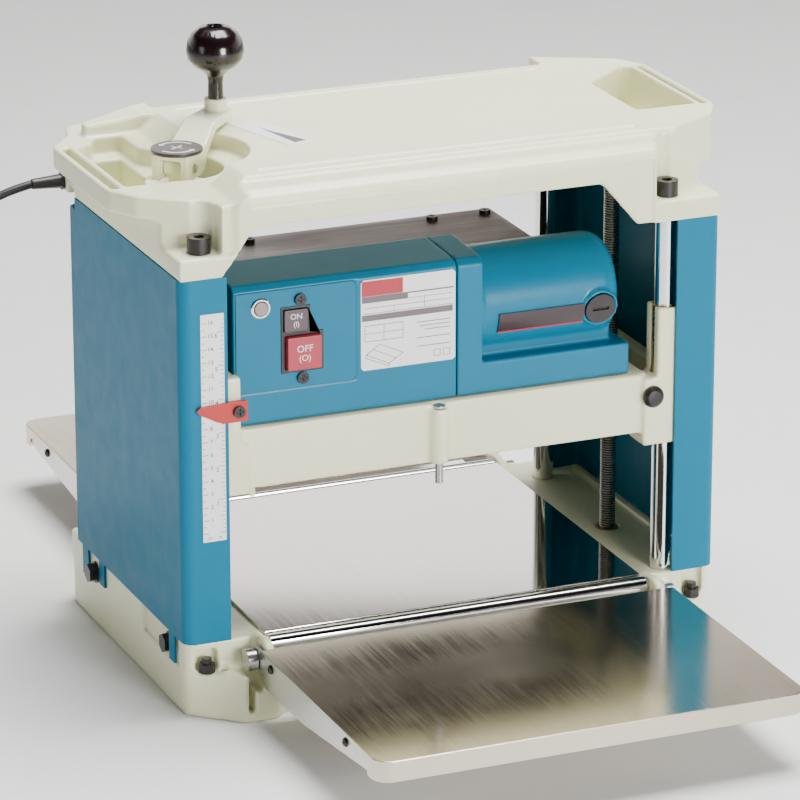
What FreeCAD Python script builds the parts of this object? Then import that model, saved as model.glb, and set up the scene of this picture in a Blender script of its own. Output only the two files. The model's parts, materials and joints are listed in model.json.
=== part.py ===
"""Portable thickness planer: base, rising cutter head, hand crank and folding tables (millimetres).

X runs across the machine, Y along the feed (front is -Y), Z up from the underside of the base.
Every piece is one named node; the sheet "Sizes" drives them all.
"""
import FreeCAD, Part
import math
import os
import re

import Sketcher

# ---------------------------------------------------------------- driving sizes
SIZES = {
    # whole machine
    "half_length": 385.5, "half_width": 241.5, "base_half": 212, "foot_half": 157, "plateau": 400.5,
    "cover_half": 214, "cover_front": 135, "cover_rear": 112, "cover_low": 58, "cover_high": 336,
    "cover_lip": 178, "sheet": 2,
    # base casting
    "shoulder": 38, "deck": 58, "base_body": 133, "foot_inner": 176, "foot_side": 125,
    "nut_x": 196.5, "nut_y": 132, "nook": 35, "low_seat": 54,
    "bench_x": 185, "bench_y": 138, "bench_hole": 3,
    # guide columns and lead screws
    "column_radius": 8, "column_left": -193.5, "column_right": 175.5, "column_front": -120,
    "column_rear": 96, "column_top": 345, "screw_x": 175, "screw_y": -26, "screw_radius": 6,
    "journal": 5, "running": 0.05, "shaft_z": 25, "gear_radius": 12,
    # tables
    "table_top": 60, "table_half": 152, "table_rear": 134, "roller_radius": 6, "roller_y": 142,
    "roller_z": 54.5, "roller_journal": 4, "leaf_half": 166, "leaf_top": 57.6, "leaf_near": 162,
    "pivot_y": 148, "pivot_z": 46, "pivot_pin": 4, "lug_radius": 16.2, "lug_inner": 153.5,
    "lug_outer": 160.5, "rail_inner": 161.5, "rail_outer": 164.5, "slot_outer": 178,
    # cutter head
    "head_front": 128, "bar_low": 171, "bar_high": 216.5, "cheek_inner": 153.5, "cheek": 5,
    "cutter_y": -8, "cutter_z": 180.5, "cutter_radius": 24, "feed_radius": 20.5, "feed_z": 176,
    "infeed_y": -66, "outfeed_y": 50, "sleeve": 12, "motor_y": -82, "motor_z": 279, "motor_radius": 40,
    "box_left": -169, "box_right": 6, "box_face": -122, "box_back": -63, "box_brow": 318,
    "box_top": 324, "motor_right": 140, "panel_left": -167, "panel_right": -74, "belt_x": -163,
    "belt_wide": 6.5, "gear_x": 159.5,
    # top frame
    "pad": 352, "left_rim": 388, "beam_left": -181, "beam_right": 160, "frame_rear": 114,
    "frame_wall": 6, "ceiling": 391, "arch": 370,
    # crank
    "knuckle": 388, "arm_reach": 75, "arm_angle": 47, "arm_level": 412, "knob_radius": 21.5,
    # mains cord
    "cord_radius": 3.25, "coil_x": -335, "coil_y": 196, "coil_mean": 38.8, "coil_half": 13.2,
    "coil_high": 13.2,
}

doc = FreeCAD.newDocument("thickness_planer")
sheet = doc.addObject("Spreadsheet::Sheet", "Sizes")
for row, (alias, number) in enumerate(SIZES.items(), start=1):
    sheet.set(f"A{row}", alias)
    sheet.set(f"B{row}", str(number))
    sheet.setAlias(f"B{row}", alias)
doc.recompute()

WORD = re.compile(r"[a-z_][a-z0-9_]*")
TURN = {
    "x": FreeCAD.Rotation(FreeCAD.Vector(0, 1, 0), 90),
    "y": FreeCAD.Rotation(FreeCAD.Vector(1, 0, 0), -90),
    "z": FreeCAD.Rotation(),
}
PLANES = {"xy": "XY_Plane", "xz": "XZ_Plane", "yz": "YZ_Plane"}
NODES = []


# ---------------------------------------------------------------- small modelling language
def formula(text):
    """The text with every sheet alias in it written as a reference to the sheet."""
    return WORD.sub(lambda word: "Sizes." + word.group() if word.group() in SIZES else word.group(),
                    str(text))


def size(text):
    """The number that a formula gives now."""
    return float(sheet.evalExpression(formula(text)))


def add(kind, name, **links):
    piece = doc.addObject(kind, name)
    for key, link in links.items():
        setattr(piece, key, link)
    return piece


def box(name, x, y, z):
    """A block between (low, high) formulas along each axis."""
    piece = add("Part::Box", name)
    for side, axis, (low, high) in zip(("Length", "Width", "Height"), "xyz", (x, y, z)):
        piece.setExpression(side, formula(f"({high}) - ({low})"))
        piece.setExpression(f"Placement.Base.{axis}", formula(low))
    return piece


def rod(name, axis, across, along, radius):
    """A cylinder along one axis: across is its centre on the other two, in x, y, z order."""
    piece = add("Part::Cylinder", name, Placement=FreeCAD.Placement(FreeCAD.Vector(), TURN[axis]))
    low, high = along
    base = dict(zip([other for other in "xyz" if other != axis], across))
    base[axis] = low
    for key, text in base.items():
        piece.setExpression(f"Placement.Base.{key}", formula(text))
    piece.setExpression("Radius", formula(radius))
    piece.setExpression("Height", formula(f"({high}) - ({low})"))
    return piece


def cone(name, axis, across, along, radii):
    piece = add("Part::Cone", name, Placement=FreeCAD.Placement(FreeCAD.Vector(), TURN[axis]))
    low, high = along
    base = dict(zip([other for other in "xyz" if other != axis], across))
    base[axis] = low
    for key, text in base.items():
        piece.setExpression(f"Placement.Base.{key}", formula(text))
    piece.setExpression("Radius1", formula(radii[0]))
    piece.setExpression("Radius2", formula(radii[1]))
    piece.setExpression("Height", formula(f"({high}) - ({low})"))
    return piece


def polygon(body, plane, points, level="0"):
    """A closed sketch on one of the body's own planes; every corner is bound to its formulas."""
    sketch = body.newObject("Sketcher::SketchObject", body.Name + "_outline")
    origin = next(part for part in body.Origin.OriginFeatures if part.Role == PLANES[plane])
    sketch.AttachmentSupport = [(origin, "")]
    sketch.MapMode = "FlatFace"
    sketch.setExpression("AttachmentOffset.Base.z", formula(level))
    corners = [FreeCAD.Vector(size(x), size(y), 0) for x, y in points]
    count = len(corners)
    for index, corner in enumerate(corners):
        sketch.addGeometry(Part.LineSegment(corner, corners[(index + 1) % count]))
    for index in range(count):
        sketch.addConstraint(Sketcher.Constraint("Coincident", index, 2, (index + 1) % count, 1))
    for index, corner in enumerate(corners):
        for kind, number, text in zip(("DistanceX", "DistanceY"), corner, points[index]):
            place = sketch.addConstraint(Sketcher.Constraint(kind, index, 1, number))
            sketch.setExpression(f"Constraints[{place}]", formula(text))
    return sketch


def prism(name, plane, points, low, high):
    """A polygon in one plane, padded from low to high along the plane's normal."""
    body = add("PartDesign::Body", name)
    level = f"-({high})" if plane == "xz" else low
    sketch = polygon(body, plane, points, level)
    pad = body.newObject("PartDesign::Pad", name + "_pad")
    pad.Profile = sketch
    pad.setExpression("Length", formula(f"({high}) - ({low})"))
    return body


def turned(name, points, axis="z", centre=("0", "0", "0")):
    """A (radius, height) profile turned about the height axis, then laid along axis at centre."""
    body = add("PartDesign::Body", name)
    sketch = polygon(body, "xz", points)
    turn = body.newObject("PartDesign::Revolution", name + "_turn")
    turn.Profile = sketch
    turn.ReferenceAxis = (sketch, ["V_Axis"])
    turn.Angle = 360
    body.Placement = FreeCAD.Placement(FreeCAD.Vector(), TURN[axis])
    for key, text in zip("xyz", centre):
        body.setExpression(f"Placement.Base.{key}", formula(text))
    return body


def soften(body, radius, wanted):
    """Fillet the edges of a body whose midpoint and direction pass the wanted test."""
    doc.recompute()
    tip = body.Tip
    names = []
    for index, edge in enumerate(tip.Shape.Edges, start=1):
        start, end = edge.Vertexes[0].Point, edge.Vertexes[-1].Point
        if wanted((start + end) * 0.5, end - start):
            names.append(f"Edge{index}")
    fillet = body.newObject("PartDesign::Fillet", body.Name + "_round")
    fillet.Base = (tip, names)
    fillet.setExpression("Radius", formula(radius))
    return body


def upright(middle, along):
    """True for a vertical edge."""
    return abs(along.z) > 1 and math.hypot(along.x, along.y) < 0.01


def join(name, *pieces):
    return add("Part::MultiFuse", name, Shapes=list(pieces))


def carve(name, base, *tools):
    """The base with every tool taken away."""
    tool = tools[0] if len(tools) == 1 else join(name + "_tools", *tools)
    return add("Part::Cut", name, Base=base, Tool=tool)


def node(name, piece, *more):
    """Name a finished piece; several separate solids go together as one node."""
    if more:
        piece = add("Part::Compound", name + "_set", Links=[piece, *more])
    piece.Label = name
    NODES.append(piece)
    return piece


def turn_about(piece, angle, place):
    """Stand a locally built piece at its place, turned about the vertical by a sheet angle."""
    stand = add("Part::Compound", piece.Name + "_stand", Links=[piece])
    stand.Placement = FreeCAD.Placement(FreeCAD.Vector(), FreeCAD.Rotation(FreeCAD.Vector(0, 0, 1), 1))
    stand.setExpression("Placement.Rotation.Angle", formula(angle))
    for key, text in zip("xyz", place):
        stand.setExpression(f"Placement.Base.{key}", formula(text))
    return stand


COLUMNS = [(x, y) for x in ("column_left", "column_right") for y in ("column_front", "column_rear")]
SIDES = (("left", "-1"), ("right", "1"))
ENDS = (("front", "-1"), ("rear", "1"))


# ---------------------------------------------------------------- standing frame
def column_foot(place):
    """The front left column stands on the roof of the nut's nook; the others go deep into the base."""
    return "low_seat" if place == ("column_left", "column_front") else "8"


def base_casting():
    feet = []
    for sx in ("-1", "1"):
        for sy in ("-1", "1"):
            corner = [("0", f"{sy} * 60"), (f"{sx} * base_half", f"{sy} * 60"),
                      (f"{sx} * base_half", f"{sy} * foot_side"),
                      (f"{sx} * foot_inner", f"{sy} * foot_half"),
                      (f"{sx} * 150", f"{sy} * foot_half"), (f"{sx} * 142", f"{sy} * (foot_half - 9)"),
                      ("0", f"{sy} * (foot_half - 9)")]
            foot = prism(f"foot_{sx}_{sy}".replace("-", "n"), "xy", corner, "0", "shoulder")
            rim = size("base_half") - 1
            feet.append(soften(foot, "14", lambda middle, along: upright(middle, along)
                               and abs(middle.x) > rim and abs(middle.y) > 100))
    middle = box("base_middle", ("-base_half", "base_half"), ("-62", "62"), ("0", "shoulder"))
    upper = prism("base_upper", "xy",
                  [("-base_half", "-base_body"), ("base_half", "-base_body"),
                   ("base_half", "base_body"), ("-base_half", "base_body")], "shoulder - 1", "deck")
    soften(upper, "10", upright)
    lugs = []
    hollows = [
        box("table_seat", ("-table_half - 1", "table_half + 1"), ("-base_body - 9", "base_body + 9"),
            ("deck - 1", "deck + 9")),
        box("underside", ("-206", "206"), ("-110", "110"), ("-1", "51")),
        box("underside_middle", ("-150", "150"), ("-126", "126"), ("-1", "51")),
        box("underside_long", ("-138", "138"), ("-foot_half + 15", "foot_half - 15"), ("-1", "32")),
    ]
    details = []
    for end, sy in ENDS:
        hollows.append(box(f"roller_trough_{end}", ("-lug_inner", "lug_inner"),
                           (f"{sy} * roller_y - 10", f"{sy} * roller_y + 10") , ("shoulder", "deck + 9")))
        for side, sx in SIDES:
            tag = f"{end}_{side}"
            near, far = (f"{sx} * lug_inner", f"{sx} * lug_outer")
            span = (near, far) if side == "right" else (far, near)
            lugs.append(rod(f"lug_{tag}", "x", (f"{sy} * pivot_y", "pivot_z"), span, "lug_radius"))
            reach = sorted((size(f"{sy} * pivot_y"), size(f"{sy} * (base_body - 4)")))
            inner = (f"{sy} * pivot_y", f"{sy} * (base_body - 4)")
            inner = inner if size(inner[0]) == reach[0] else inner[::-1]
            lugs.append(box(f"lug_root_{tag}", span, inner, ("shoulder - 8", "deck + 2")))
            depth = (f"{sy} * 135", f"{sy} * 175")
            depth = depth if end == "rear" else depth[::-1]
            for part, inner, outer, span in (("low", "lug_outer", "167", ("23", "shoulder")),
                                             ("drain", "168", "172.8", ("6", "shoulder")),
                                             ("high", "lug_outer", "slot_outer", ("shoulder - 2", "deck + 9"))):
                slot = (f"{sx} * {inner}", f"{sx} * {outer}")
                slot = slot if side == "right" else slot[::-1]
                details.append(box(f"hinge_slot_{part}_{tag}", slot, depth, span))
            nook = (f"{sx} * 188.5", f"{sx} * 205")
            nook = nook if side == "right" else nook[::-1]
            deep = (f"{sy} * 124.5", f"{sy} * 146")
            deep = deep if end == "rear" else deep[::-1]
            roof = "low_seat - 1.5" if tag == "front_left" else "deck + 9"
            details.append(box(f"nut_nook_{tag}", nook, deep, ("nook", roof)))
            details.append(rod(f"stud_hole_{tag}", "z", (f"{sx} * nut_x", f"{sy} * nut_y"),
                               ("nook - 10", "nook + 5"), "3 + running"))
            details.append(rod(f"bench_hole_{tag}", "z", (f"{sx} * bench_x", f"{sy} * bench_y"),
                               ("-1", "deck + 9"), "bench_hole"))
            details.append(rod(f"roller_bore_{tag}", "x", (f"{sy} * roller_y", "roller_z"),
                               (f"{sx} * 157 - 5", f"{sx} * 157 + 5"), "roller_journal + running"))
            details.append(rod(f"pin_bore_{tag}", "x", (f"{sy} * pivot_y", "pivot_z"),
                               (f"{sx} * 157 - 5", f"{sx} * 157 + 5"), "pivot_pin + 0.02"))
    pocket = [box("side_recess_" + side, (f"{sx} * base_half - 4", f"{sx} * base_half + 4"),
                  ("-112", "-36"), ("34", "deck + 9")) for side, sx in SIDES]
    tap = [rod(f"side_bolt_hole_{side}_{index}", "x", (y, "44"),
               (f"{sx} * 202 - 11", f"{sx} * 202 + 11"), "4 + running")
           for side, sx in SIDES for index, y in enumerate(("-88", "68"))]
    bosses = [rod(f"column_boss_{index}", "z", place, ("0", "52"), "15")
              for index, place in enumerate(COLUMNS)]
    bosses += [rod("screw_boss_" + side, "z", (f"{sx} * screw_x", "screw_y"), ("41", "52"), "14")
               for side, sx in SIDES]
    bosses += [box("shaft_lug_" + side, (f"{sx} * 110 - 6", f"{sx} * 110 + 6"),
                   ("screw_y - 10", "screw_y + 10"), ("14", "52")) for side, sx in SIDES]
    bosses += [box(f"rib_{index}", (f"{x} - 3", f"{x} + 3"), ("-127", "127"), ("33", "52"))
               for index, x in enumerate(("-55", "0", "55"))]
    bores = [rod(f"column_bore_{index}", "z", place, (column_foot(place), "deck + 9"),
                 "column_radius + 0.02") for index, place in enumerate(COLUMNS)]
    bores += [rod("screw_bore_" + side, "z", (f"{sx} * screw_x", "screw_y"), ("40", "deck + 9"), "9.02")
              for side, sx in SIDES]
    bores += [rod("shaft_bore", "x", ("screw_y", "shaft_z"), ("-120", "120"), "journal + running")]
    rims = [box("cover_rim_" + side, (f"{sx} * 207 - 3", f"{sx} * 207 + 3"), ("-127", "104"),
                ("deck - 1", "deck + 3.5")) for side, sx in SIDES]
    shell = carve("base_shell", join("base_block", *feet, middle, upper, *rims), *hollows)
    solid = join("base_solid", shell, *lugs, *bosses)
    node("base", carve("base_cut", solid, *details, *pocket, *tap, *bores))


def columns_and_bolts():
    columns, caps, corners = [], [], []
    for index, (x, y) in enumerate(COLUMNS):
        column = rod(f"column_{index}", "z", (x, y), (column_foot((x, y)), "column_top"), "column_radius")
        thread = rod(f"column_thread_{index}", "z", (x, y), ("326", "column_top + 1"), "4.02")
        columns.append(carve(f"column_cut_{index}", column, thread))
        head = rod(f"cap_head_{index}", "z", (x, y), ("pad", "pad + 12"), "8.5")
        shank = rod(f"cap_shank_{index}", "z", (x, y), ("328", "pad"), "4")
        socket = add("Part::Prism", f"cap_socket_{index}", Polygon=6)
        socket.setExpression("Circumradius", formula("4.2"))
        socket.setExpression("Height", formula("8"))
        for key, text in zip("xyz", (x, y, "pad + 6")):
            socket.setExpression(f"Placement.Base.{key}", formula(text))
        caps.append(carve(f"cap_bolt_{index}", join(f"cap_{index}", head, shank), socket))
    for end, sy in ENDS:
        for side, sx in SIDES:
            across = (f"{sx} * nut_x", f"{sy} * nut_y")
            nut = add("Part::Prism", f"nut_{end}_{side}", Polygon=6)
            nut.setExpression("Circumradius", formula("6.3"))
            nut.setExpression("Height", formula("5.6"))
            for key, text in zip("xyz", (*across, "nook + 1")):
                nut.setExpression(f"Placement.Base.{key}", formula(text))
            corners.append(join(f"corner_nut_{end}_{side}", nut,
                                rod(f"washer_{end}_{side}", "z", across, ("nook", "nook + 1.2"), "6"),
                                rod(f"stud_{end}_{side}", "z", across, ("nook - 8", "nook + 11"), "3"),
                                rod(f"stud_cap_{end}_{side}", "z", across, ("nook + 6", "nook + 11"), "3.6")))
    for side, sx in SIDES:
        for index, y in enumerate(("-88", "68")):
            face = f"{sx} * (base_half - 4)" if index == 0 else f"{sx} * base_half"
            corners.append(hex_bolt(f"side_bolt_{side}_{index}", "x", (y, "44"), face, sx))
    node("guide_columns", *columns)
    node("top_frame_bolts", *caps)
    node("base_bolts", *corners)


def hex_bolt(name, axis, across, seat, way):
    """A flanged hexagon bolt: its seat is on the surface, way is the side that its head is on."""
    def span(near, far):
        low, high = (near, far) if way == "1" else (far, near)
        return (f"{seat} + {way} * {low}", f"{seat} + {way} * {high}")
    flange = rod(name + "_flange", axis, across, span("0", "1.6"), "8.5")
    shank = rod(name + "_shank", axis, across, span("-16", "0"), "4")
    head = add("Part::Prism", name + "_head", Polygon=6)
    head.Placement = FreeCAD.Placement(FreeCAD.Vector(), TURN[axis])
    head.setExpression("Circumradius", formula("7.4"))
    head.setExpression("Height", formula("6.4"))
    base = dict(zip([other for other in "xyz" if other != axis], across))
    base[axis] = span("1", "7.4")[0]
    for key, text in base.items():
        head.setExpression(f"Placement.Base.{key}", formula(text))
    return join(name, flange, shank, head)


def covers():
    """Bent sheet covers, open to the inside, with tongues that hook over the base."""
    for side, sx in SIDES:
        outside, inside = f"{sx} * cover_half", f"{sx} * (cover_half - sheet)"
        lip = f"{sx} * cover_lip"
        front, rear = "-cover_front", "cover_rear"
        sheet_metal = prism(f"{side}_cover_sheet", "xy", [
            (lip, front), (outside, front), (outside, rear), (lip, rear),
            (lip, "cover_rear - sheet"), (inside, "cover_rear - sheet"),
            (inside, "sheet - cover_front"), (lip, "sheet - cover_front")], "cover_low", "cover_high")
        edge = size("cover_half")
        soften(sheet_metal, "9", lambda middle, along: upright(middle, along)
               and abs(middle.x) > edge - 0.1)
        inner = size("cover_half - sheet")
        soften(sheet_metal, "7", lambda middle, along: upright(middle, along)
               and abs(abs(middle.x) - inner) < 0.1)
        plate = (inside, outside) if side == "right" else (outside, inside)
        tongues = [box(f"{side}_tongue_{index}", plate, span, (foot, "cover_low + 4"))
                   for index, (span, foot) in enumerate(
                       ((("-111", "-99"), "36"), (("44", "56"), "39"), (("80", "94"), "35")))]
        whole = join(f"{side}_cover_whole", sheet_metal, *tongues)
        if side == "left":
            whole = carve("left_cover_cut", whole, box("left_cover_corner", ("-220", "-199"),
                                                       ("94", "120"), ("326", "340")))
        node(f"{side}_cover", whole)
    node("scale_plate", box("scale", ("-199", "-181"), ("-cover_front - 0.6", "-cover_front"),
                            ("137", "310")))


def top_frame():
    """The cast carrying frame: a hollow beam, two end blocks with grip wells, and lifting rims."""
    outline = [("beam_left", "-cover_front"), ("beam_right", "-cover_front"),
               ("beam_right + 6", "-122"), ("228", "-86"), ("half_width", "-62"),
               ("half_width", "62"), ("228", "84"), ("168", "frame_rear"),
               ("beam_left + 10", "frame_rear"), ("-214", "frame_rear - 3"), ("-222", "84"),
               ("-half_width", "60"), ("-half_width", "-62"), ("-228", "-86"),
               ("beam_left", "-122")]
    shell = prism("frame_shell", "xy", outline, "pad", "plateau")
    soften(shell, "9", lambda middle, along: upright(middle, along) and abs(middle.x) > 200)
    plates = [box("foot_plate_left", ("-cover_half", "-171"), ("-cover_front", "frame_rear"),
                  ("cover_high", "pad")),
              box("foot_plate_right", ("163", "cover_half"), ("-cover_front", "frame_rear"),
                  ("cover_high", "pad"))]
    legs = [box("leg_front", ("beam_left", "beam_right + 4"),
                ("-cover_front", "frame_wall - cover_front"), ("cover_high", "pad")),
            box("leg_rear", ("beam_left", "beam_right + 4"), ("frame_rear - frame_wall", "frame_rear"),
                ("cover_high", "pad"))]
    block = join("frame_block", shell, *plates, *legs)
    arch = [("-181", "cover_high - 9"), ("-181", "cover_high"), ("-170", "350"), ("-161", "363"),
            ("-151", "arch"), ("117", "arch"), ("146", "cover_high"), ("146", "cover_high - 9")]
    cuts = [
        # the head rises into these
        box("cavity_front", ("-171", "163"), ("frame_wall - cover_front", "-62"),
            ("cover_high - 9", "383")),
        box("cavity_front_left", ("-171", "163"), ("-119", "-62"), ("380", "384.5")),
        box("cavity_front_top", ("-138", "163"), ("-119", "-62"), ("380", "ceiling")),
        box("cavity_rear", ("-140", "163"), ("-63", "frame_rear - frame_wall"),
            ("cover_high - 9", "383")),
        box("cavity_rear_top", ("-118", "163"), ("-63", "97"), ("380", "ceiling")),
        box("cavity_left", ("-171", "-139"), ("-63", "frame_rear - frame_wall"),
            ("cover_high - 9", "366")),
        prism("arch_opening", "xz", arch, "-cover_front - 9", "frame_rear + 9"),
        # nothing of the end blocks hangs outside the covers below the rims
        box("under_rim_left", ("-half_width - 9", "-cover_half"), ("-160", "160"), ("300", "371")),
        box("under_rim_right", ("cover_half", "half_width + 9"), ("-160", "160"), ("300", "364")),
        # left end lies lower than the plateau, except for the hump behind the well
        prism("left_step", "xz", [("-260", "left_rim"), ("-170", "left_rim"), ("-152", "plateau + 1"),
                                  ("-152", "430"), ("-260", "430")], "-160", "74"),
        prism("hump_outside", "xy", [("-260", "60"), ("-211", "60"), ("-211", "84"), ("-170", "100"),
                                     ("-152", "106"), ("-152", "160"), ("-260", "160")],
              "left_rim", "430"),
        prism("hump_slope", "xz", [("-260", "394"), ("-212", "396.5"), ("-165", "plateau + 0.3"),
                                   ("-165", "430"), ("-260", "430")], "60", "160"),
        rod("beam_end_groove", "z", ("-175", "-139"), ("pad", "430"), "7.5"),
        # long shoulders and grooves of the beam
        prism("front_shoulder", "yz", [("-160", "376"), ("-135.2", "385"), ("-130", "391.5"),
                                       ("-122", "395"), ("-110", "396.6"), ("-107", "plateau + 0.5"),
                                       ("-107", "430"), ("-160", "430")], "-160", "beam_right + 30"),
        prism("rear_shoulder", "yz", [("140", "378"), ("114.2", "386"), ("109", "391"),
                                      ("101", "394"), ("93", "395.4"), ("90", "plateau + 0.5"),
                                      ("90", "430"), ("140", "430")], "-152", "beam_right + 8"),
        box("front_groove", ("-140", "beam_right + 2"), ("-98", "-93"), ("plateau - 2.2", "430")),
        box("rear_groove", ("-140", "beam_right + 2"), ("77", "82"), ("plateau - 2.2", "430")),
        # crank sweep and its pocket
        rod("crank_sweep", "z", ("-screw_x", "screw_y"), ("388", "430"), "53"),
        rod("hub_pocket", "z", ("-screw_x", "screw_y"), ("369", "430"), "34"),
        # wells for the hands, and the slits between their walls and the lifting rims
        prism("left_well", "xy", [("-226", "-58"), ("-190", "-58"), ("-190", "-50"), ("-166", "-50"),
                                  ("-166", "12"), ("-184", "34"), ("-184", "70"), ("-206", "70"),
                                  ("-212", "58"), ("-226", "52")], "374", "430"),
        box("left_well_deep", ("3 - cover_half", "-190"), ("-58", "56"), ("346", "430")),
        prism("right_well", "xy", [("180", "-57"), ("229", "-57"), ("229", "57"), ("222", "62"),
                                   ("180", "26")], "367", "430"),
        prism("right_well_deep", "xy", [("180", "-57"), ("cover_half - 3", "-57"),
                                        ("cover_half - 3", "53"), ("180", "26")], "356", "430"),
        box("left_slit", ("-237", "-230.5"), ("-60", "54"), ("340", "430")),
        box("right_slit", ("233", "237.5"), ("-60", "60"), ("340", "430")),
    ]
    for index, (x, y) in enumerate(COLUMNS):
        cuts.append(rod(f"frame_column_bore_{index}", "z", (x, y), ("cover_high - 1", "column_top"),
                        "column_radius + 0.02"))
        cuts.append(rod(f"frame_bolt_hole_{index}", "z", (x, y), ("cover_high", "pad + 1"), "4.02"))
        if y == "column_front":
            cuts.append(rod(f"bolt_relief_{index}", "z", (x, y), ("pad", "430"), "10.5"))
        else:
            cuts.append(box(f"rear_bolt_pocket_{index}", (f"{x} - 10", f"{x} + 10"), (f"{y} - 10", "140"),
                            ("pad", "pad + 22")))
    cuts += [rod("frame_screw_bore_" + side, "z", (f"{sx} * screw_x", "screw_y"),
                 ("cover_high - 1", "353"), "9.02") for side, sx in SIDES]
    cuts.append(rod("crank_shaft_bore", "z", ("-screw_x", "screw_y"), ("350", "380"), "journal + 0.5"))
    cuts.append(box("rear_corner_nook", ("-250", "-202"), ("95", "140"), ("300", "342")))
    cuts.append(box("fascia_step", ("33", "beam_right - 1"), ("-140", "1.6 - cover_front"),
                    ("cover_high - 9", "430")))
    ledge = join("rear_ledge", box("ledge_plate", ("-209", "-200"), ("104.5", "108.5"), ("320", "326")),
                 box("ledge_wall", ("-205", "-180"), ("104.4", "108.5"), ("320", "345")))
    clamp = box("cord_clamp", ("-213", "-197"), ("frame_rear - 3", "129"), ("pad - 18", "pad - 2"))
    node("top_frame", join("frame_whole", carve("frame_cut", block, *cuts), ledge, clamp))


# ---------------------------------------------------------------- tables
def tables():
    plate = box("table_plate", ("-table_half", "table_half"), ("-table_rear", "table_rear"),
                ("table_top - 3", "table_top"))
    node("main_table", plate)
    for end, sy in ENDS:
        node(f"{end}_table_roller", turned(f"{end}_roller", [
            ("0", "-lug_outer + 0.3"), ("roller_journal", "-lug_outer + 0.3"),
            ("roller_journal", "-table_half"), ("roller_radius", "-table_half"),
            ("roller_radius", "table_half"), ("roller_journal", "table_half"),
            ("roller_journal", "lug_outer - 0.3"), ("0", "lug_outer - 0.3")],
            "x", ("0", f"{sy} * roller_y", "roller_z")))
        leaf = prism(f"{end}_leaf", "xy", [
            ("-leaf_half", f"{sy} * leaf_near"), ("leaf_half", f"{sy} * leaf_near"),
            ("leaf_half", f"{sy} * half_length"), ("-leaf_half", f"{sy} * half_length")],
            "leaf_top - 16", "leaf_top")
        outer = size("half_length") - 1
        soften(leaf, "13", lambda middle, along: upright(middle, along) and abs(middle.y) > outer)
        hollow = prism(f"{end}_leaf_hollow", "xy", [
            ("1.2 - leaf_half", f"{sy} * (leaf_near - 9)"), ("leaf_half - 1.2", f"{sy} * (leaf_near - 9)"),
            ("leaf_half - 1.2", f"{sy} * (half_length - 2)"),
            ("1.2 - leaf_half", f"{sy} * (half_length - 2)")], "0", "leaf_top - 2")
        soften(hollow, "11.8", lambda middle, along: upright(middle, along)
               and abs(middle.y) > outer - 4)
        skirt = prism(f"{end}_skirt_cut", "yz", [
            (f"{sy} * (leaf_near - 9)", "leaf_top - 30"), (f"{sy} * (leaf_near - 9)", "leaf_top - 2"),
            (f"{sy} * (half_length - 60)", "leaf_top - 2"), (f"{sy} * (half_length - 20)", "leaf_top - 9"),
            (f"{sy} * (half_length - 20)", "leaf_top - 30")], "-leaf_half - 9", "leaf_half + 9")
        node(f"{end}_table_plate", carve(f"{end}_leaf_cut", leaf, hollow, skirt))
        rails = []
        for side, sx in SIDES:
            span = (f"{sx} * rail_inner", f"{sx} * rail_outer")
            span = span if side == "right" else span[::-1]
            rail = prism(f"{end}_rail_{side}", "yz", [
                (f"{sy} * (pivot_y - 9)", "pivot_z - 6"), (f"{sy} * (pivot_y - 9)", "pivot_z + 4"),
                (f"{sy} * (pivot_y - 3)", "pivot_z + 9.5"), (f"{sy} * leaf_near", "leaf_top - 2"),
                (f"{sy} * (half_length - 12)", "leaf_top - 2"),
                (f"{sy} * (half_length - 14)", "pivot_z - 1.5"),
                (f"{sy} * 243", "pivot_z - 15"), (f"{sy} * 168", "pivot_z - 17"),
                (f"{sy} * (pivot_y + 4)", "pivot_z - 9")], *span)
            hole = rod(f"{end}_rail_hole_{side}", "x", (f"{sy} * pivot_y", "pivot_z"),
                       (f"{sx} * 163 - 9", f"{sx} * 163 + 9"), "pivot_pin + running")
            rails.append(carve(f"{end}_rail_cut_{side}", rail, hole))
        node(f"{end}_table_rails", *rails)
    pins = []
    for end, sy in ENDS:
        for side, sx in SIDES:
            shank = (f"{sx} * 153.7", f"{sx} * 166")
            head = (f"{sx} * 165.2", f"{sx} * 172.6")
            across = (f"{sy} * pivot_y", "pivot_z")
            shank, head = (shank, head) if side == "right" else (shank[::-1], head[::-1])
            pins.append(join(f"hinge_pin_{end}_{side}",
                             rod(f"pin_shank_{end}_{side}", "x", across, shank, "pivot_pin"),
                             rod(f"pin_head_{end}_{side}", "x", across, head, "8.4")))
    node("table_hinge_pins", *pins)


# ---------------------------------------------------------------- height drive
def height_drive():
    bushes = []
    for side, sx in SIDES:
        place = (f"{sx} * screw_x", "screw_y", "0")
        end = [("journal", "371"), ("4", "371"), ("4", "knuckle - 4"), ("0", "knuckle - 4")]
        end = end if side == "left" else [("journal", "pad"), ("0", "pad")]
        node(f"{side}_lead_screw", turned(f"{side}_screw", [
            ("0", "28"), ("journal", "28"), ("journal", "58"), ("screw_radius", "59"),
            ("screw_radius", "335.5"), ("journal", "336.5"), *end], "z", place))
        node(f"{side}_bevel_gear", bevel_gear(f"{side}_gear", "z", "1", place[:2], "shaft_z"))
        for level, low, high in (("lower", "48", "deck - 0.5"), ("upper", "337", "352.5")):
            ring = rod(f"bush_{side}_{level}", "z", place[:2], (low, high), "9")
            hole = rod(f"bush_bore_{side}_{level}", "z", place[:2], ("40", "360"), "journal + running")
            bushes.append(carve(f"bush_cut_{side}_{level}", ring, hole))
    node("screw_bushes", *bushes)
    node("cross_shaft", rod("cross_rod", "x", ("screw_y", "shaft_z"), ("-169.5", "169.5"), "journal"))
    node("cross_shaft_gears", *(bevel_gear(f"cross_gear_{side}", "x", "-1" if side == "right" else "1",
                                           ("screw_y", "shaft_z"), f"{sx} * screw_x")
                                for side, sx in SIDES))


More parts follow.
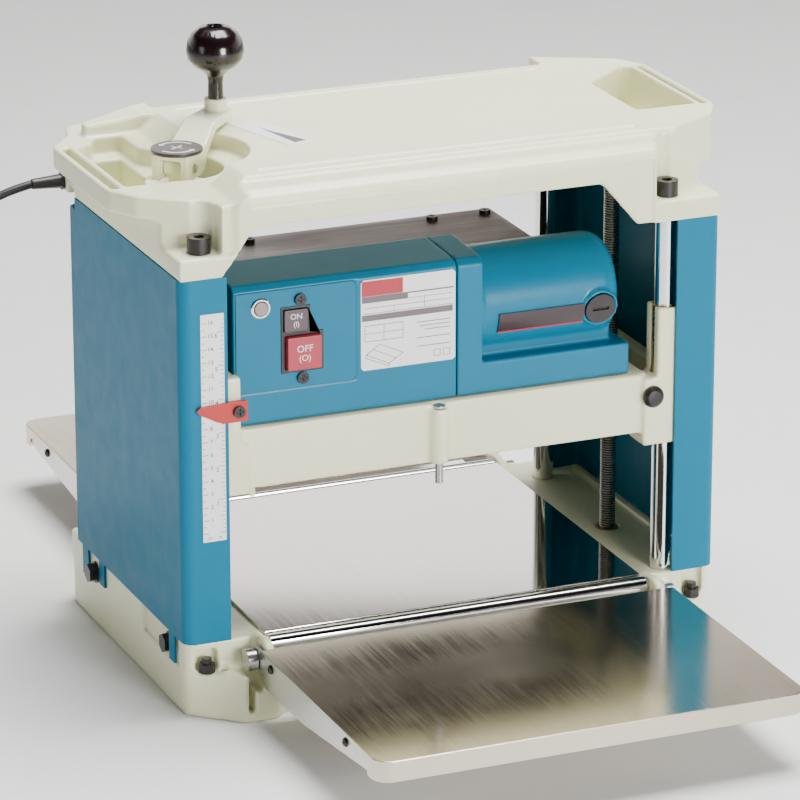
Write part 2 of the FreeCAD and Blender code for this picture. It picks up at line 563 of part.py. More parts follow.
def bevel_gear(name, axis, way, across, apex):
    """A toothed 45 degree cone: its large end stands gear_radius from the apex, on the way side."""
    near, far = f"{apex} + {way} * 6.5", f"{apex} + {way} * gear_radius"
    hub = f"{apex} + {way} * (gear_radius + 6)"
    small, large = "6.3 - 0.4", "gear_radius - 0.6"
    if way == "1":
        blank = cone(name + "_cone", axis, across, (near, far), (small, large))
        sleeve = rod(name + "_sleeve", axis, across, (far, hub), "8")
    else:
        blank = cone(name + "_cone", axis, across, (far, near), (large, small))
        sleeve = rod(name + "_sleeve", axis, across, (hub, far), "8")
    bore = rod(name + "_bore", axis, across, (f"{apex} - 40", f"{apex} + 40"), "journal")
    gaps = []
    teeth = 14
    centre = dict(zip([other for other in "xyz" if other != axis], across))
    for index in range(teeth):
        gap = add("Part::Box", f"{name}_gap_{index}", Length=30, Width=1.5, Height=8)
        lift = FreeCAD.Placement(FreeCAD.Vector(0, -0.75, 0), FreeCAD.Rotation())
        lean = FreeCAD.Placement(FreeCAD.Vector(), FreeCAD.Rotation(
            FreeCAD.Vector(0, 1, 0), -45 if way == "1" else 45))
        spin = FreeCAD.Placement(FreeCAD.Vector(), FreeCAD.Rotation(
            FreeCAD.Vector(0, 0, 1), 360 * index / teeth))
        slide = FreeCAD.Placement(FreeCAD.Vector(0, 0, -1.6 if way == "1" else 1.6 - 8 * math.sqrt(2)),
                                  FreeCAD.Rotation())
        place = {key: size(text) for key, text in centre.items()}
        place[axis] = size(apex)
        stand = FreeCAD.Placement(FreeCAD.Vector(place["x"], place["y"], place["z"]), TURN[axis])
        gap.Placement = stand * spin * slide * lean * lift
        gaps.append(gap)
    return carve(name, join(name + "_blank", blank, sleeve), bore, *gaps)


def crank():
    """Built with the arm along X and the lead screw on Z, then turned to its parked angle."""
    hub = ("-screw_x", "screw_y", "0")
    neck = rod("hub_neck", "z", ("0", "0"), ("371", "knuckle"), "6.2")
    barrel = rod("hub_barrel", "y", ("0", "knuckle"), ("-8", "8"), "7")
    bore = rod("hub_bore", "z", ("0", "0"), ("330", "knuckle - 4"), "4")
    pin_bore = rod("hub_pin_bore", "y", ("0", "knuckle"), ("-9", "9"), "3 + running")
    block = carve("hub_cut", join("hub_block", neck, barrel), bore, pin_bore)
    node("crank_hub", turn_about(block, "arm_angle", hub))

    side = [("-14", "knuckle - 8"), ("14", "knuckle - 8"), ("20", "knuckle - 6"), ("26", "knuckle + 3"),
            ("47", "arm_level - 8"), ("arm_reach + 7", "arm_level - 8"),
            ("arm_reach + 7", "arm_level"), ("44", "arm_level"), ("22", "knuckle + 12"),
            ("-14", "knuckle + 12")]
    profile = prism("arm_profile", "xz", side, "-14", "14")
    window = box("arm_window", ("-15", "14"), ("-8.4", "8.4"), ("370", "knuckle + 7.6"))
    waist = [prism(f"arm_waist_{tag}", "xy", [("18", f"{s} * 30"), ("18", f"{s} * 14.2"),
                                             ("36", f"{s} * 12.4"), ("90", f"{s} * 9.6"),
                                             ("90", f"{s} * 30")], "360", "430")
             for tag, s in SIDES]
    boss = rod("arm_boss", "z", ("arm_reach", "0"), ("arm_level - 8", "arm_level + 9"), "8.6")
    pin_hole = rod("arm_pin_hole", "y", ("0", "knuckle"), ("-20", "20"), "3 + 0.02")
    bolt_hole = rod("arm_bolt_hole", "z", ("arm_reach", "0"), ("390", "430"), "3.02")
    arm = carve("arm_cut", join("arm_whole", carve("arm_open", profile, window, *waist), boss),
                pin_hole, bolt_hole)
    node("crank_arm", turn_about(arm, "arm_angle", hub))
    pin = rod("crank_pin", "y", ("0", "knuckle"), ("-15.2", "15.2"), "3")
    node("direction_disc", rod("disc_plate", "z", hub[:2], ("knuckle + 12", "knuckle + 14.6"), "19"))
    spindle = join("spindle_whole",
                   rod("spindle_bolt", "z", ("arm_reach", "0"), ("arm_level - 7.8", "464"), "3"),
                   rod("spindle_head", "z", ("arm_reach", "0"), ("464", "466.6"), "5"))
    both = add("Part::Compound", "pin_and_spindle", Links=[pin, spindle])
    node("crank_pins", turn_about(both, "arm_angle", hub))
    ball = turned("knob_ball", [
        ("3.05", "arm_level + 9.3"), ("5.8", "arm_level + 9.3"), ("5.6", "433"), ("6.3", "438"),
        ("10.5", "442"), ("16.5", "446"), ("20.4", "451"), ("knob_radius", "457"), ("20.4", "464"),
        ("17", "470"), ("11.5", "474.3"), ("6.5", "475.4"), ("5.6", "474.4"), ("5.4", "463.7"),
        ("3.05", "463.7")])
    ball.setExpression("Placement.Base.x", formula("arm_reach"))
    node("crank_knob", turn_about(ball, "arm_angle", hub))


# ---------------------------------------------------------------- cutter head
def head_frame():
    cheeks = [box("cheek_" + side, *(
        [(f"{sx} * cheek_inner", f"{sx} * (cheek_inner + cheek)") if side == "right" else
         (f"{sx} * (cheek_inner + cheek)", f"{sx} * cheek_inner")] +
        [("-head_front + 4", "104"), ("162", "bar_high")])) for side, sx in SIDES]
    bars = [box("front_bar", ("-165", "154"), ("-head_front", "-104"), ("bar_low", "bar_high")),
            box("rear_bar", ("-165", "165"), ("84", "106"), ("bar_low", "bar_high")),
            box("head_deck", ("-155", "155"), ("-105", "85"), ("bar_high - 6", "bar_high"))]
    rails = [box("side_beam_left", ("-206", "-188"), ("-121", "96"), ("bar_low", "206")),
             box("side_beam_right", ("188", "200"), ("-121", "96"), ("bar_low", "206"))]
    brackets = [
        box("bracket_left", ("-206", "-167"), ("-132", "-109"), ("182", "258")),
        box("bracket_left_foot", ("-206", "-161"), ("-132", "-109"), ("168", "206")),
        box("bracket_right", ("154", "181"), ("-132", "-109"), ("161", "214")),
        box("bracket_right_arm", ("154", "200"), ("-124", "-109"), ("bar_low", "206")),
        box("bracket_right_top", ("165", "181"), ("-132", "-109"), ("213", "268")),
        box("gear_post", ("cheek_inner", "cheek_inner + cheek"), ("cutter_y - 10", "cutter_y + 10"),
            ("210", "228")),
        rod("sprocket_stud", "x", ("cutter_y", "cutter_z + 38.8"), ("155", "gear_x + 8"), "4"),
        box("bracket_rear_left", ("-206", "-158"), ("84", "108"), ("bar_low", "230")),
        box("bracket_rear_right", ("158", "200"), ("84", "108"), ("bar_low", "230")),
    ]
    ears = []
    for side, sx in SIDES:
        span = (f"{sx} * screw_x", f"{sx} * 192")
        span = span if side == "right" else span[::-1]
        ears.append(rod("nut_ring_" + side, "z", (f"{sx} * screw_x", "screw_y"), ("174", "200"), "9.3"))
        ears.append(box("nut_arm_" + side, span, ("screw_y - 9", "screw_y + 9"), ("174", "200")))
    gauge = rod("gauge_boss", "z", ("-11", "-head_front"), ("bar_low", "213"), "7.5")
    whole = join("head_whole", *cheeks, *bars, *rails, *brackets, *ears, gauge)
    cuts = [rod(f"bush_seat_{index}", "z", (x, y), ("150", "280"), "9.52")
            for index, (x, y) in enumerate(COLUMNS)]
    cuts += [rod("nut_bore_" + side, "z", (f"{sx} * screw_x", "screw_y"), ("170", "210"), "8.02")
             for side, sx in SIDES]
    cuts += [
        rod("gauge_cap_way", "z", ("-11", "-head_front - 1"), ("213", "230"), "5"),
        box("housing_clearance", ("box_left - 0.3", "-150"), ("box_face - 0.5", "-100"),
            ("bar_high + 0.2", "300")),
        rod("gauge_bore", "z", ("-11", "-head_front - 1"), ("150", "230"), "3 + running"),
        box("chip_slot", ("-150", "150"), ("cutter_y - 26", "cutter_y + 34"), ("200", "230")),
        rod("cutter_bore", "x", ("cutter_y", "cutter_z"), ("-170", "170"), "13.02"),
        rod("infeed_bore", "x", ("infeed_y", "feed_z"), ("-170", "170"), "6 + running"),
        rod("outfeed_bore", "x", ("outfeed_y", "feed_z"), ("-170", "170"), "6 + running"),
        box("bracket_notch", ("150", "165"), ("-140", "-127"), ("214", "300")),
        rod("bracket_bolt_hole", "y", ("161", "200"), ("-140", "-119"), "3.02"),
    ]
    node("head_frame", carve("head_cut", whole, *cuts))
    bushes, nuts = [], []
    spans = (("169", "257.5"), ("172", "229.5"), ("162", "267.5"), ("172", "229.5"))
    for index, ((x, y), span) in enumerate(zip(COLUMNS, spans)):
        ring = rod(f"guide_ring_{index}", "z", (x, y), span, "9.5")
        hole = rod(f"guide_hole_{index}", "z", (x, y), ("150", "280"), "column_radius + running")
        bushes.append(carve(f"guide_bush_{index}", ring, hole))
    for side, sx in SIDES:
        place = (f"{sx} * screw_x", "screw_y")
        barrel = rod("nut_barrel_" + side, "z", place, ("174.5", "200"), "8")
        flange = rod("nut_flange_" + side, "z", place, ("200", "204"), "9.2")
        hole = rod("nut_hole_" + side, "z", place, ("170", "210"), "screw_radius + running")
        nuts.append(carve("nut_" + side, join("nut_body_" + side, barrel, flange), hole))
    node("guide_bushes", *bushes)
    node("lead_nuts", *nuts)
    tip = "head_front + 1"
    node("depth_gauge_pin", join("gauge_pin", rod("gauge_rod", "z", ("-11", f"-({tip})"),
                                                  ("155", "213.4"), "3"),
                                 rod("gauge_cap", "z", ("-11", f"-({tip})"), ("213.4", "215.4"), "4.6")))


def housings():
    """Painted covers over the motor: the square switch housing and the round motor housing."""
    slope = [("box_face", "bar_high + 0.5"), ("box_face", "box_brow"), ("box_face + 5", "box_brow + 4"),
             ("box_back", "box_top"), ("box_back", "bar_high + 0.5")]
    inner = [("box_face + 3", "bar_high - 9"), ("box_face + 3", "box_brow - 2"),
             ("box_face + 7", "box_brow + 1"), ("box_back - 3", "box_top - 3"),
             ("box_back - 3", "bar_high - 9")]
    shell = prism("switch_shell", "yz", slope, "box_left", "box_right")
    hollow = prism("switch_hollow", "yz", inner, "box_left + 2", "box_right + 1")
    wall = box("bearing_wall", ("-157", "-151"), ("box_face + 2", "box_back - 2"), ("bar_high + 1", "296"))
    opening = box("switch_opening", ("-133", "-99"), ("box_face - 1", "box_face + 4"), ("253", "304"))
    panel_seat = box("panel_seat", ("panel_left - 0.5", "panel_right + 0.5"),
                     ("box_face - 1", "box_face + 1.2"), ("241", "317.5"))
    screws = [rod(f"panel_screw_way_{index}", "y", place, ("box_face - 1", "box_face + 7"), "2.02")
              for index, place in enumerate((("-117.5", "308.5"), ("-116", "248.8")))]
    reset_bore = rod("reset_seat", "y", ("-148", "305"), ("box_face - 1", "box_face + 4"), "7.05")
    seat = rod("motor_seat_left", "x", ("motor_y", "motor_z"), ("-158", "-150"), "13.02")
    belt_slit = box("belt_slit", ("-167.5", "-158.5"), ("-80", "box_back + 1"), ("bar_high", "300"))
    node("switch_housing", carve("switch_cut", join("switch_box", carve("switch_open", shell, hollow), wall),
                                 opening, panel_seat, reset_bore, seat, belt_slit, *screws))

    panel = prism("panel_plate", "xz", [("panel_left", "241.5"), ("panel_right", "241.5"),
                                        ("panel_right", "317"), ("panel_left", "317")],
                  "box_face - 0.4", "box_face + 1.2")
    right = size("panel_right") - 1
    soften(panel, "5", lambda middle, along: abs(along.y) > 1 and middle.x > right
           and math.hypot(along.x, along.z) < 0.01)
    node("switch_panel", carve("panel_cut", panel,
                               box("panel_opening_on", ("-132.6", "-109.6"), ("-130", "-110"), ("283", "303.6")),
                               box("panel_opening_off", ("-132.6", "-99.4"), ("-130", "-110"),
                                   ("253.4", "283.5")),
                               rod("panel_reset", "y", ("-148", "305"), ("-130", "-110"), "7.05"),
                               rod("panel_hole_top", "y", ("-117.5", "308.5"), ("-130", "-110"), "2.02"),
                               rod("panel_hole_low", "y", ("-116", "248.8"), ("-130", "-110"), "2.02")))

    shoulder = prism("motor_shoulder", "yz", slope, "box_right + 0.5", "27")
    strip = box("motor_strip", ("box_right + 0.5", "146"), ("box_face", "box_back"), ("bar_high + 0.5", "241"))
    barrel = turned("motor_barrel", [
        ("0", "20"), ("motor_radius - 1", "20"), ("motor_radius - 1", "128"), ("37.5", "134"),
        ("34", "138"), ("28", "motor_right"), ("0", "motor_right")], "x", ("0", "motor_y", "motor_z"))
    bed = box("motor_bed", ("20", "136"), ("motor_y - 26", "motor_y + 18"), ("240", "254"))
    room = turned("motor_room", [
        ("0", "box_right - 5"), ("motor_radius - 3.5", "box_right - 5"), ("motor_radius - 3.5", "126"),
        ("11.02", "126"), ("11.02", "137"), ("0", "137")], "x", ("0", "motor_y", "motor_z"))
    lower_room = box("strip_room", ("box_right - 1", "143"), ("box_face + 3", "box_back - 3"),
                     ("bar_high - 9", "236"))
    caps = []
    tilt = FreeCAD.Rotation(FreeCAD.Vector(1, 0, 0), 90 + 12)
    for name, radius, start, length in (("cap_seat", 12.3, 26, 30),):
        seat = add("Part::Cylinder", name, Radius=radius, Height=length)
        seat.Placement = FreeCAD.Placement(FreeCAD.Vector(122, size("motor_y"), size("motor_z")), tilt) \
            * FreeCAD.Placement(FreeCAD.Vector(0, 0, start), FreeCAD.Rotation())
        caps.append(seat)
    upper = carve("barrel_cut", join("barrel_and_bed", shoulder, strip, barrel, bed), room, lower_room, *caps)
    collar = add("Part::Cylinder", "cap_collar", Radius=14.6, Height=13)
    collar.Placement = FreeCAD.Placement(FreeCAD.Vector(122, size("motor_y"), size("motor_z")), tilt) \
        * FreeCAD.Placement(FreeCAD.Vector(0, 0, 27), FreeCAD.Rotation())
    ring = carve("cap_collar_ring", collar, room_copy := add("Part::Cylinder", "cap_bore", Radius=12.3,
                                                             Height=40))
    room_copy.Placement = FreeCAD.Placement(FreeCAD.Vector(122, size("motor_y"), size("motor_z")), tilt) \
        * FreeCAD.Placement(FreeCAD.Vector(0, 0, 20), FreeCAD.Rotation())
    node("motor_housing", join("motor_housing_whole", upper, ring))
    plug = add("Part::Cylinder", "brush_cap_body", Radius=12, Height=13.5)
    plug.Placement = FreeCAD.Placement(FreeCAD.Vector(122, size("motor_y"), size("motor_z")), tilt) \
        * FreeCAD.Placement(FreeCAD.Vector(0, 0, 27.5), FreeCAD.Rotation())
    slot = add("Part::Box", "brush_cap_slot", Length=13, Width=2.4, Height=4)
    slot.Placement = FreeCAD.Placement(FreeCAD.Vector(122, size("motor_y"), size("motor_z")), tilt) \
        * FreeCAD.Placement(FreeCAD.Vector(-6.5, -1.2, 38.8), FreeCAD.Rotation())
    node("brush_cap", carve("brush_cap_cut", plug, slot))


def switch_gear():
    back = box("switch_core", ("-132.4", "-99.6"), ("-113", "-96"), ("253.6", "303.4"))
    frame_on = box("switch_frame_on", ("-132.4", "-109.8"), ("box_face - 1", "-112"), ("283.2", "303.4"))
    frame_off = box("switch_frame_off", ("-132.4", "-99.6"), ("box_face - 1", "-112"), ("253.6", "283.3"))
    on_way = box("on_way", ("-130.6", "-111.6"), ("-130", "-114"), ("284.8", "301.6"))
    off_way = box("off_way", ("-129.4", "-102.4"), ("-130", "-114"), ("255.8", "281.4"))
    node("switch_body", carve("switch_body_cut", join("switch_body_block", back, frame_on, frame_off),
                              on_way, off_way))
    for name, x, z, proud in (("on_button", ("-130.2", "-112"), ("285.2", "301.2"), "2.6"),
                              ("off_button", ("-129", "-102.8"), ("256.2", "281"), "6")):
        cap = prism(name + "_cap", "xz", [(x[0], z[0]), (x[1], z[0]), (x[1], z[1]), (x[0], z[1])],
                    f"box_face - {proud}", "-118")
        soften(cap, "1.2", lambda middle, along: abs(along.y) > 1
               and math.hypot(along.x, along.z) < 0.01)
        node(name, cap)
    node("reset_button", rod("reset_stem", "y", ("-148", "305"), ("box_face - 3", "-113"), "5"))


def head_trim():
    flap = [("-203.5", "238.6"), ("-201", "241.2"), ("-183", "242.2"), ("-164.5", "242.2"),
            ("-164.5", "227"), ("-183", "227"), ("-188.5", "229"), ("-201", "236")]
    arrow = prism("pointer_flap", "xz", flap, "-138.2", "-136.4")
    foot = box("pointer_foot", ("-177.4", "-164.6"), ("-136.5", "-132"), ("228", "241.5"))
    hole = rod("pointer_hole", "y", ("-171.4", "235"), ("-140", "-130"), "2.02")
    node("depth_pointer", carve("pointer_cut", join("pointer_whole", arrow, foot), hole))
    screws = [pan_screw("pointer_screw", "y", ("-171.4", "235"), "-138.2", "-1"),
              pan_screw("panel_screw_top", "y", ("-117.5", "308.5"), "box_face - 0.4", "-1"),
              pan_screw("panel_screw_low", "y", ("-116", "248.8"), "box_face - 0.4", "-1")]
    for index, (x, y) in enumerate((("-90", "52"), ("60", "52"), ("104", "-30"), ("104", "52"))):
        screws.append(pan_screw(f"chip_screw_{index}", "z", (x, y), "298.5", "1"))
    dome = turned("bracket_dome", [("0", "10"), ("3", "10"), ("3", "0"), ("8.4", "0"), ("8.2", "-2.6"),
                                   ("5.5", "-4.8"), ("0", "-5.4")], "y", ("161", "-132", "200"))
    node("head_screws", *screws, dome)
    hood = prism("hood_outer", "yz", [("-62", "298.5"), ("62", "298.5"), ("82", "286"), ("100", "240"),
                                      ("100", "217"), ("-62", "217")], "-150", "112")
    inside = prism("hood_inner", "yz", [("-70", "296.5"), ("61", "296.5"), ("80", "284.5"),
                                        ("98", "239.6"), ("98", "216"), ("-70", "216")], "-148", "110")
    mouth = box("hood_mouth", ("-120", "90"), ("70", "120"), ("226", "262"))
    holes = [rod(f"chip_hole_{index}", "z", place, ("290", "300"), "2.02")
             for index, place in enumerate((("-90", "52"), ("60", "52"), ("104", "-30"), ("104", "52")))]
    bay = rod("hood_motor_bay", "x", ("motor_y", "motor_z"), ("box_right - 2", "150"), "motor_radius + 0.8")
    node("chip_cover", carve("hood_cut", hood, inside, mouth, bay, *holes))


def pan_screw(name, axis, across, seat, way):
    head = (seat, f"{seat} + {way} * 2.6") if way == "1" else (f"{seat} - 2.6", seat)
    shank = (f"{seat} - {way} * 5.5", seat) if way == "1" else (seat, f"{seat} - {way} * 5.5")
    cross = (f"{seat} + {way} * 1.4", f"{seat} + {way} * 3")
    cross = cross if way == "1" else cross[::-1]
    whole = join(name + "_whole", rod(name + "_head", axis, across, head, "4.4"),
                 rod(name + "_shank", axis, across, shank, "2"))
    first, second = across
    arms = []
    for tag, wide, tall in (("a", "2.6", "0.5"), ("b", "0.5", "2.6")):
        spans = {axis: cross}
        others = [other for other in "xyz" if other != axis]
        spans[others[0]] = (f"{first} - {wide}", f"{first} + {wide}")
        spans[others[1]] = (f"{second} - {tall}", f"{second} + {tall}")
        arms.append(box(f"{name}_cross_{tag}", spans["x"], spans["y"], spans["z"]))
    return carve(name, whole, *arms)


def cutter_and_motor():
    drum_axis = ("cutter_y", "cutter_z")
    drum = turned("drum_body", [
        ("0", "-166.5"), ("6", "-166.5"), ("6", "-159.3"), ("8.5", "-159.3"), ("8.5", "-152.9"),
        ("cutter_radius - 0.8", "-152.9"), ("cutter_radius - 0.8", "152.9"), ("8.5", "152.9"),
        ("8.5", "158.3"), ("0", "158.3")], "x", ("0", *drum_axis))
    slots = [box(f"blade_slot_{tag}", ("-154", "154"), ("cutter_y - 4.6", "cutter_y + 1.2"), span)
             for tag, span in (("low", ("cutter_z - 26", "cutter_z - 12")),
                               ("high", ("cutter_z + 12", "cutter_z + 26")))]
    node("cutter_drum", carve("drum_cut", drum, *slots))
    blades, clamps = [], []
    for tag, way in (("low", "-1"), ("high", "1")):
        far, near = f"cutter_z + {way} * cutter_radius", f"cutter_z + {way} * 12.2"
        span = (near, far) if way == "1" else (far, near)
        blades.append(box("blade_" + tag, ("-152.5", "152.5"), ("cutter_y - 1", "cutter_y + 1"), span))
        seat = (f"cutter_z + {way} * 12.2", f"cutter_z + {way} * 22.4")
        seat = seat if way == "1" else seat[::-1]
        clamps.append(box("clamp_" + tag, ("-152.5", "152.5"), ("cutter_y - 4.5", "cutter_y - 1.1"), seat))
    node("planer_blades", *blades)
    node("blade_clamps", *clamps)
    motor_axis = ("motor_y", "motor_z")
    rings = [ring("cutter_bearing_left", drum_axis, ("-158.3", "-153.7"), "8.5 + running", "13"),
             ring("cutter_bearing_right", drum_axis, ("153.7", "158.3"), "8.5 + running", "13"),
             ring("motor_bearing_left", motor_axis, ("-157", "-151.2"), "6 + running", "13"),
             ring("motor_bearing_right", motor_axis, ("126.3", "133"), "6 + running", "11")]
    node("ball_bearings", *rings)
    node("cutter_pulley", ring("pulley_low", drum_axis, ("belt_x - 3.3", "belt_x + 3.3"), "6", "14"))
    node("motor_pulley", ring("pulley_high", motor_axis, ("belt_x - 3.3", "belt_x + 3.3"), "6", "15"))
    node("armature", turned("rotor", [
        ("0", "-166.3"), ("6", "-166.3"), ("6", "30"), ("22", "30"), ("24", "34"), ("24", "94"),
        ("21", "98"), ("9", "99"), ("9", "104"), ("14", "105"), ("14", "121"), ("6", "122"),
        ("6", "133"), ("0", "133")], "x", ("0", *motor_axis)))
    node("cooling_fan", ring("fan", motor_axis, ("12", "24"), "6", "33"))
    node("stator", ring("stator_ring", motor_axis, ("36", "92"), "24.8", "motor_radius - 3.7"))
    node("drive_belt", belt("belt", (("motor_y", "motor_z", 15.2), ("cutter_y", "cutter_z", 14.2)),
                            "belt_x - 3", "belt_x + 3", 2.4))
    for name, y in (("infeed_roller", "infeed_y"), ("outfeed_roller", "outfeed_y")):
        node(name, turned(name + "_body", [
            ("0", "-158.3"), ("6", "-158.3"), ("6", "-152.9"), ("feed_radius", "-152.9"),
            ("feed_radius", "152.9"), ("6", "152.9"), ("6", "gear_x + 4.2"), ("10.4", "gear_x + 4.2"),
            ("10.4", "gear_x + 7.2"), ("0", "gear_x + 7.2")], "x", ("0", y, "feed_z")))
    node("feed_sprocket", turned("feed_sprocket_body", [
        ("4.05", "gear_x"), ("26", "gear_x"), ("26", "gear_x + 3.2"), ("12", "gear_x + 3.2"),
        ("12", "gear_x + 4.2"), ("10.4", "gear_x + 4.2"), ("10.4", "gear_x + 7.2"),
        ("4.05", "gear_x + 7.2")], "x", ("0", "cutter_y", "cutter_z + 38.8")))


def ring(name, across, along, bore, outside):
    """A plain ring along X."""
    hole = rod(name + "_hole", "x", across, (f"{along[0]} - 1", f"{along[1]} + 1"), bore)
    return carve(name, rod(name + "_disc", "x", across, along, outside), hole)


def belt(name, wheels, low, high, thick):
    """An endless band round wheels given clockwise as (y, z, radius), from straight runs and arcs."""
    places = [(size(y), size(z), radius) for y, z, radius in wheels]

    def loop(extra):
        touch = []
        for index, (y, z, radius) in enumerate(places):
            after = places[(index + 1) % len(places)]
            gap = math.hypot(after[0] - y, after[1] - z)
            slant = math.atan2(after[1] - z, after[0] - y) + math.acos((radius - after[2]) / gap)
            for wheel in (places[index], after):
                touch.append(FreeCAD.Vector(0, wheel[0] + (wheel[2] + extra) * math.cos(slant),
                                            wheel[1] + (wheel[2] + extra) * math.sin(slant)))
        edges = []
        for index in range(len(places)):
            leave, arrive = touch[2 * index], touch[2 * index + 1]
            edges.append(Part.LineSegment(leave, arrive).toShape())
            wheel = places[(index + 1) % len(places)]
            onward = touch[(2 * index + 2) % len(touch)]
            first = math.atan2(arrive.z - wheel[1], arrive.y - wheel[0])
            last = math.atan2(onward.z - wheel[1], onward.y - wheel[0])
            while last > first:
                last -= 2 * math.pi
            half = (first + last) / 2
            middle = FreeCAD.Vector(0, wheel[0] + (wheel[2] + extra) * math.cos(half),
                                    wheel[1] + (wheel[2] + extra) * math.sin(half))
            edges.append(Part.Arc(arrive, middle, onward).toShape())
        return Part.Face(Part.Wire(edges))

    band = loop(thick).cut(loop(0))
    start = size(low)
    piece = add("Part::Feature", name)
    piece.Shape = band.translated(FreeCAD.Vector(start, 0, 0)).extrude(
        FreeCAD.Vector(size(high) - start, 0, 0))
    return piece


# ---------------------------------------------------------------- mains cord
CORD_ROUTE = [(-238.8, 122, 341.4), (-272, 122, 335.5), (-298, 123, 311), (-309, 125, 270),
              (-310, 129, 214), (-306, 133, 160), (-298, 137, 108), (-291.5, 142, 66),
              (-288, 152, 36), (-286.8, 172, 20.4), (-286.4, 198, 16.6)]


def cord_path(route):
    """Straight runs joined by tangent arcs, each arc as large as its two runs allow."""
    points = [FreeCAD.Vector(*point) for point in route]
    edges, start = [], points[0]
    for before, corner, after in zip(points, points[1:], points[2:]):
        into, out = corner - before, after - corner
        turn = into.getAngle(out)
        reach = 0.45 * min(into.Length, out.Length)
        print(f"cord arc radius {reach / math.tan(turn / 2):.1f}")
        into.normalize()
        out.normalize()
        enter, leave = corner - into * reach, corner + out * reach
        inward = out - into
        inward.normalize()
        radius = reach / math.tan(turn / 2)
        middle = corner + inward * (radius / math.cos(turn / 2) - radius)
        edges.append(Part.LineSegment(start, enter).toShape())
        edges.append(Part.Arc(enter, middle, leave).toShape())
        start = leave
    edges.append(Part.LineSegment(start, points[-1]).toShape())
    return Part.Wire(edges)


def mains_cord():
    node("cord_relief", join("cord_relief_whole",
                             cone("relief_cone", "x", ("122", "341.5"), ("-238", "-215"), ("3.9", "5.4")),
                             rod("relief_flange", "x", ("122", "341.5"), ("-215", "-213"), "6.8")))
    path = cord_path(CORD_ROUTE)
    start, onward = (FreeCAD.Vector(*point) for point in CORD_ROUTE[:2])
    circle = Part.Wire(Part.Circle(start, onward - start, size("cord_radius")).toShape())
    tube = add("Part::Feature", "cord_tube")
    tube.Shape = path.makePipeShell([circle], True, True)
    section = math.pi * size("cord_radius") ** 2
    print(f"cord tube volume over section times length {tube.Shape.Volume / (section * path.Length):.4f}")
    print(f"cord tube length {path.Length:.1f}")
    node("cord_tube", tube)
    outer = rod("coil_outer", "z", ("coil_x", "coil_y"), ("0", "coil_high"), "coil_mean + coil_half")
    inner = rod("coil_inner", "z", ("coil_x", "coil_y"), ("-1", "coil_high + 1"), "coil_mean - coil_half")
    node("cord_coil", carve("coil_ring", outer, inner))
    grip = box("plug_grip", ("coil_x + 35.5", "coil_x + 61.5"), ("coil_y + 42", "coil_y + 80"),
               ("0.2", "22.2"))
    prongs = [rod(f"plug_prong_{index}", "y", (f"coil_x + {x}", "11.2"),
                  ("coil_y + 80", "coil_y + 99"), "2.4") for index, x in enumerate(("39", "58"))]
    node("mains_plug", join("plug_whole", grip, *prongs))


base_casting()
columns_and_bolts()
covers()
top_frame()
tables()
height_drive()
crank()
head_frame()
housings()
switch_gear()
head_trim()
cutter_and_motor()
mains_cord()
doc.recompute()

for item in doc.Objects:
    if {"Invalid", "Error"} & set(item.State):
        raise RuntimeError(f"{item.Name} did not recompute: {item.State}")
os.makedirs("parts", exist_ok=True)
for piece in NODES:
    shape = piece.Shape
    if shape.isNull() or not shape.isValid() or not shape.Solids:
        raise RuntimeError(f"{piece.Label} has no sound solid")
    shape.exportStep(f"parts/{piece.Label}.step")
    print(f"{piece.Label}: {len(shape.Solids)} solid(s), {shape.Volume / 1000:.1f} cm3")
print(len(NODES), "nodes")
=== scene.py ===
"""Looks of a portable thickness planer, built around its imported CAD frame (metres)."""
import json
import math

import bmesh
import bpy
from mathutils import Matrix, Vector


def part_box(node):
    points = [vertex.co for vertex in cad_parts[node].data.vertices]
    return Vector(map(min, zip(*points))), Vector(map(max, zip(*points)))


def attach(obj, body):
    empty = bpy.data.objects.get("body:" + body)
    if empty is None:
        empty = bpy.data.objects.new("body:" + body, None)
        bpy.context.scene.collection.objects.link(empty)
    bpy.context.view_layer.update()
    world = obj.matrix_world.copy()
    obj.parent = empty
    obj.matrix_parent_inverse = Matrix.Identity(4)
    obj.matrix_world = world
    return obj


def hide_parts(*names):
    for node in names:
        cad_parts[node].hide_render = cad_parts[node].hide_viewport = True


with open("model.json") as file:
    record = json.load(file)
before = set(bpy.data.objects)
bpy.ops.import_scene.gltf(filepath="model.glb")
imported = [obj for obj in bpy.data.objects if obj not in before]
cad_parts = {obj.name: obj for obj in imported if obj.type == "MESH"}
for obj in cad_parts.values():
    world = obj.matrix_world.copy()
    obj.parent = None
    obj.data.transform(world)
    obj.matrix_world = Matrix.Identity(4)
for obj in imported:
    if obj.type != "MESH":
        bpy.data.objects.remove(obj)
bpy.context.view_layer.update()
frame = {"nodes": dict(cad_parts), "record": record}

MM = 0.001
SCENE = bpy.context.scene
NODES = frame["nodes"]
BODY_OF = {node: body for body, nodes in frame["record"]["behaviour"]["bodies"].items() for node in nodes}
SLOT_OF = {row["node"]: row["material_slot"] for row in frame["record"]["subparts"]}

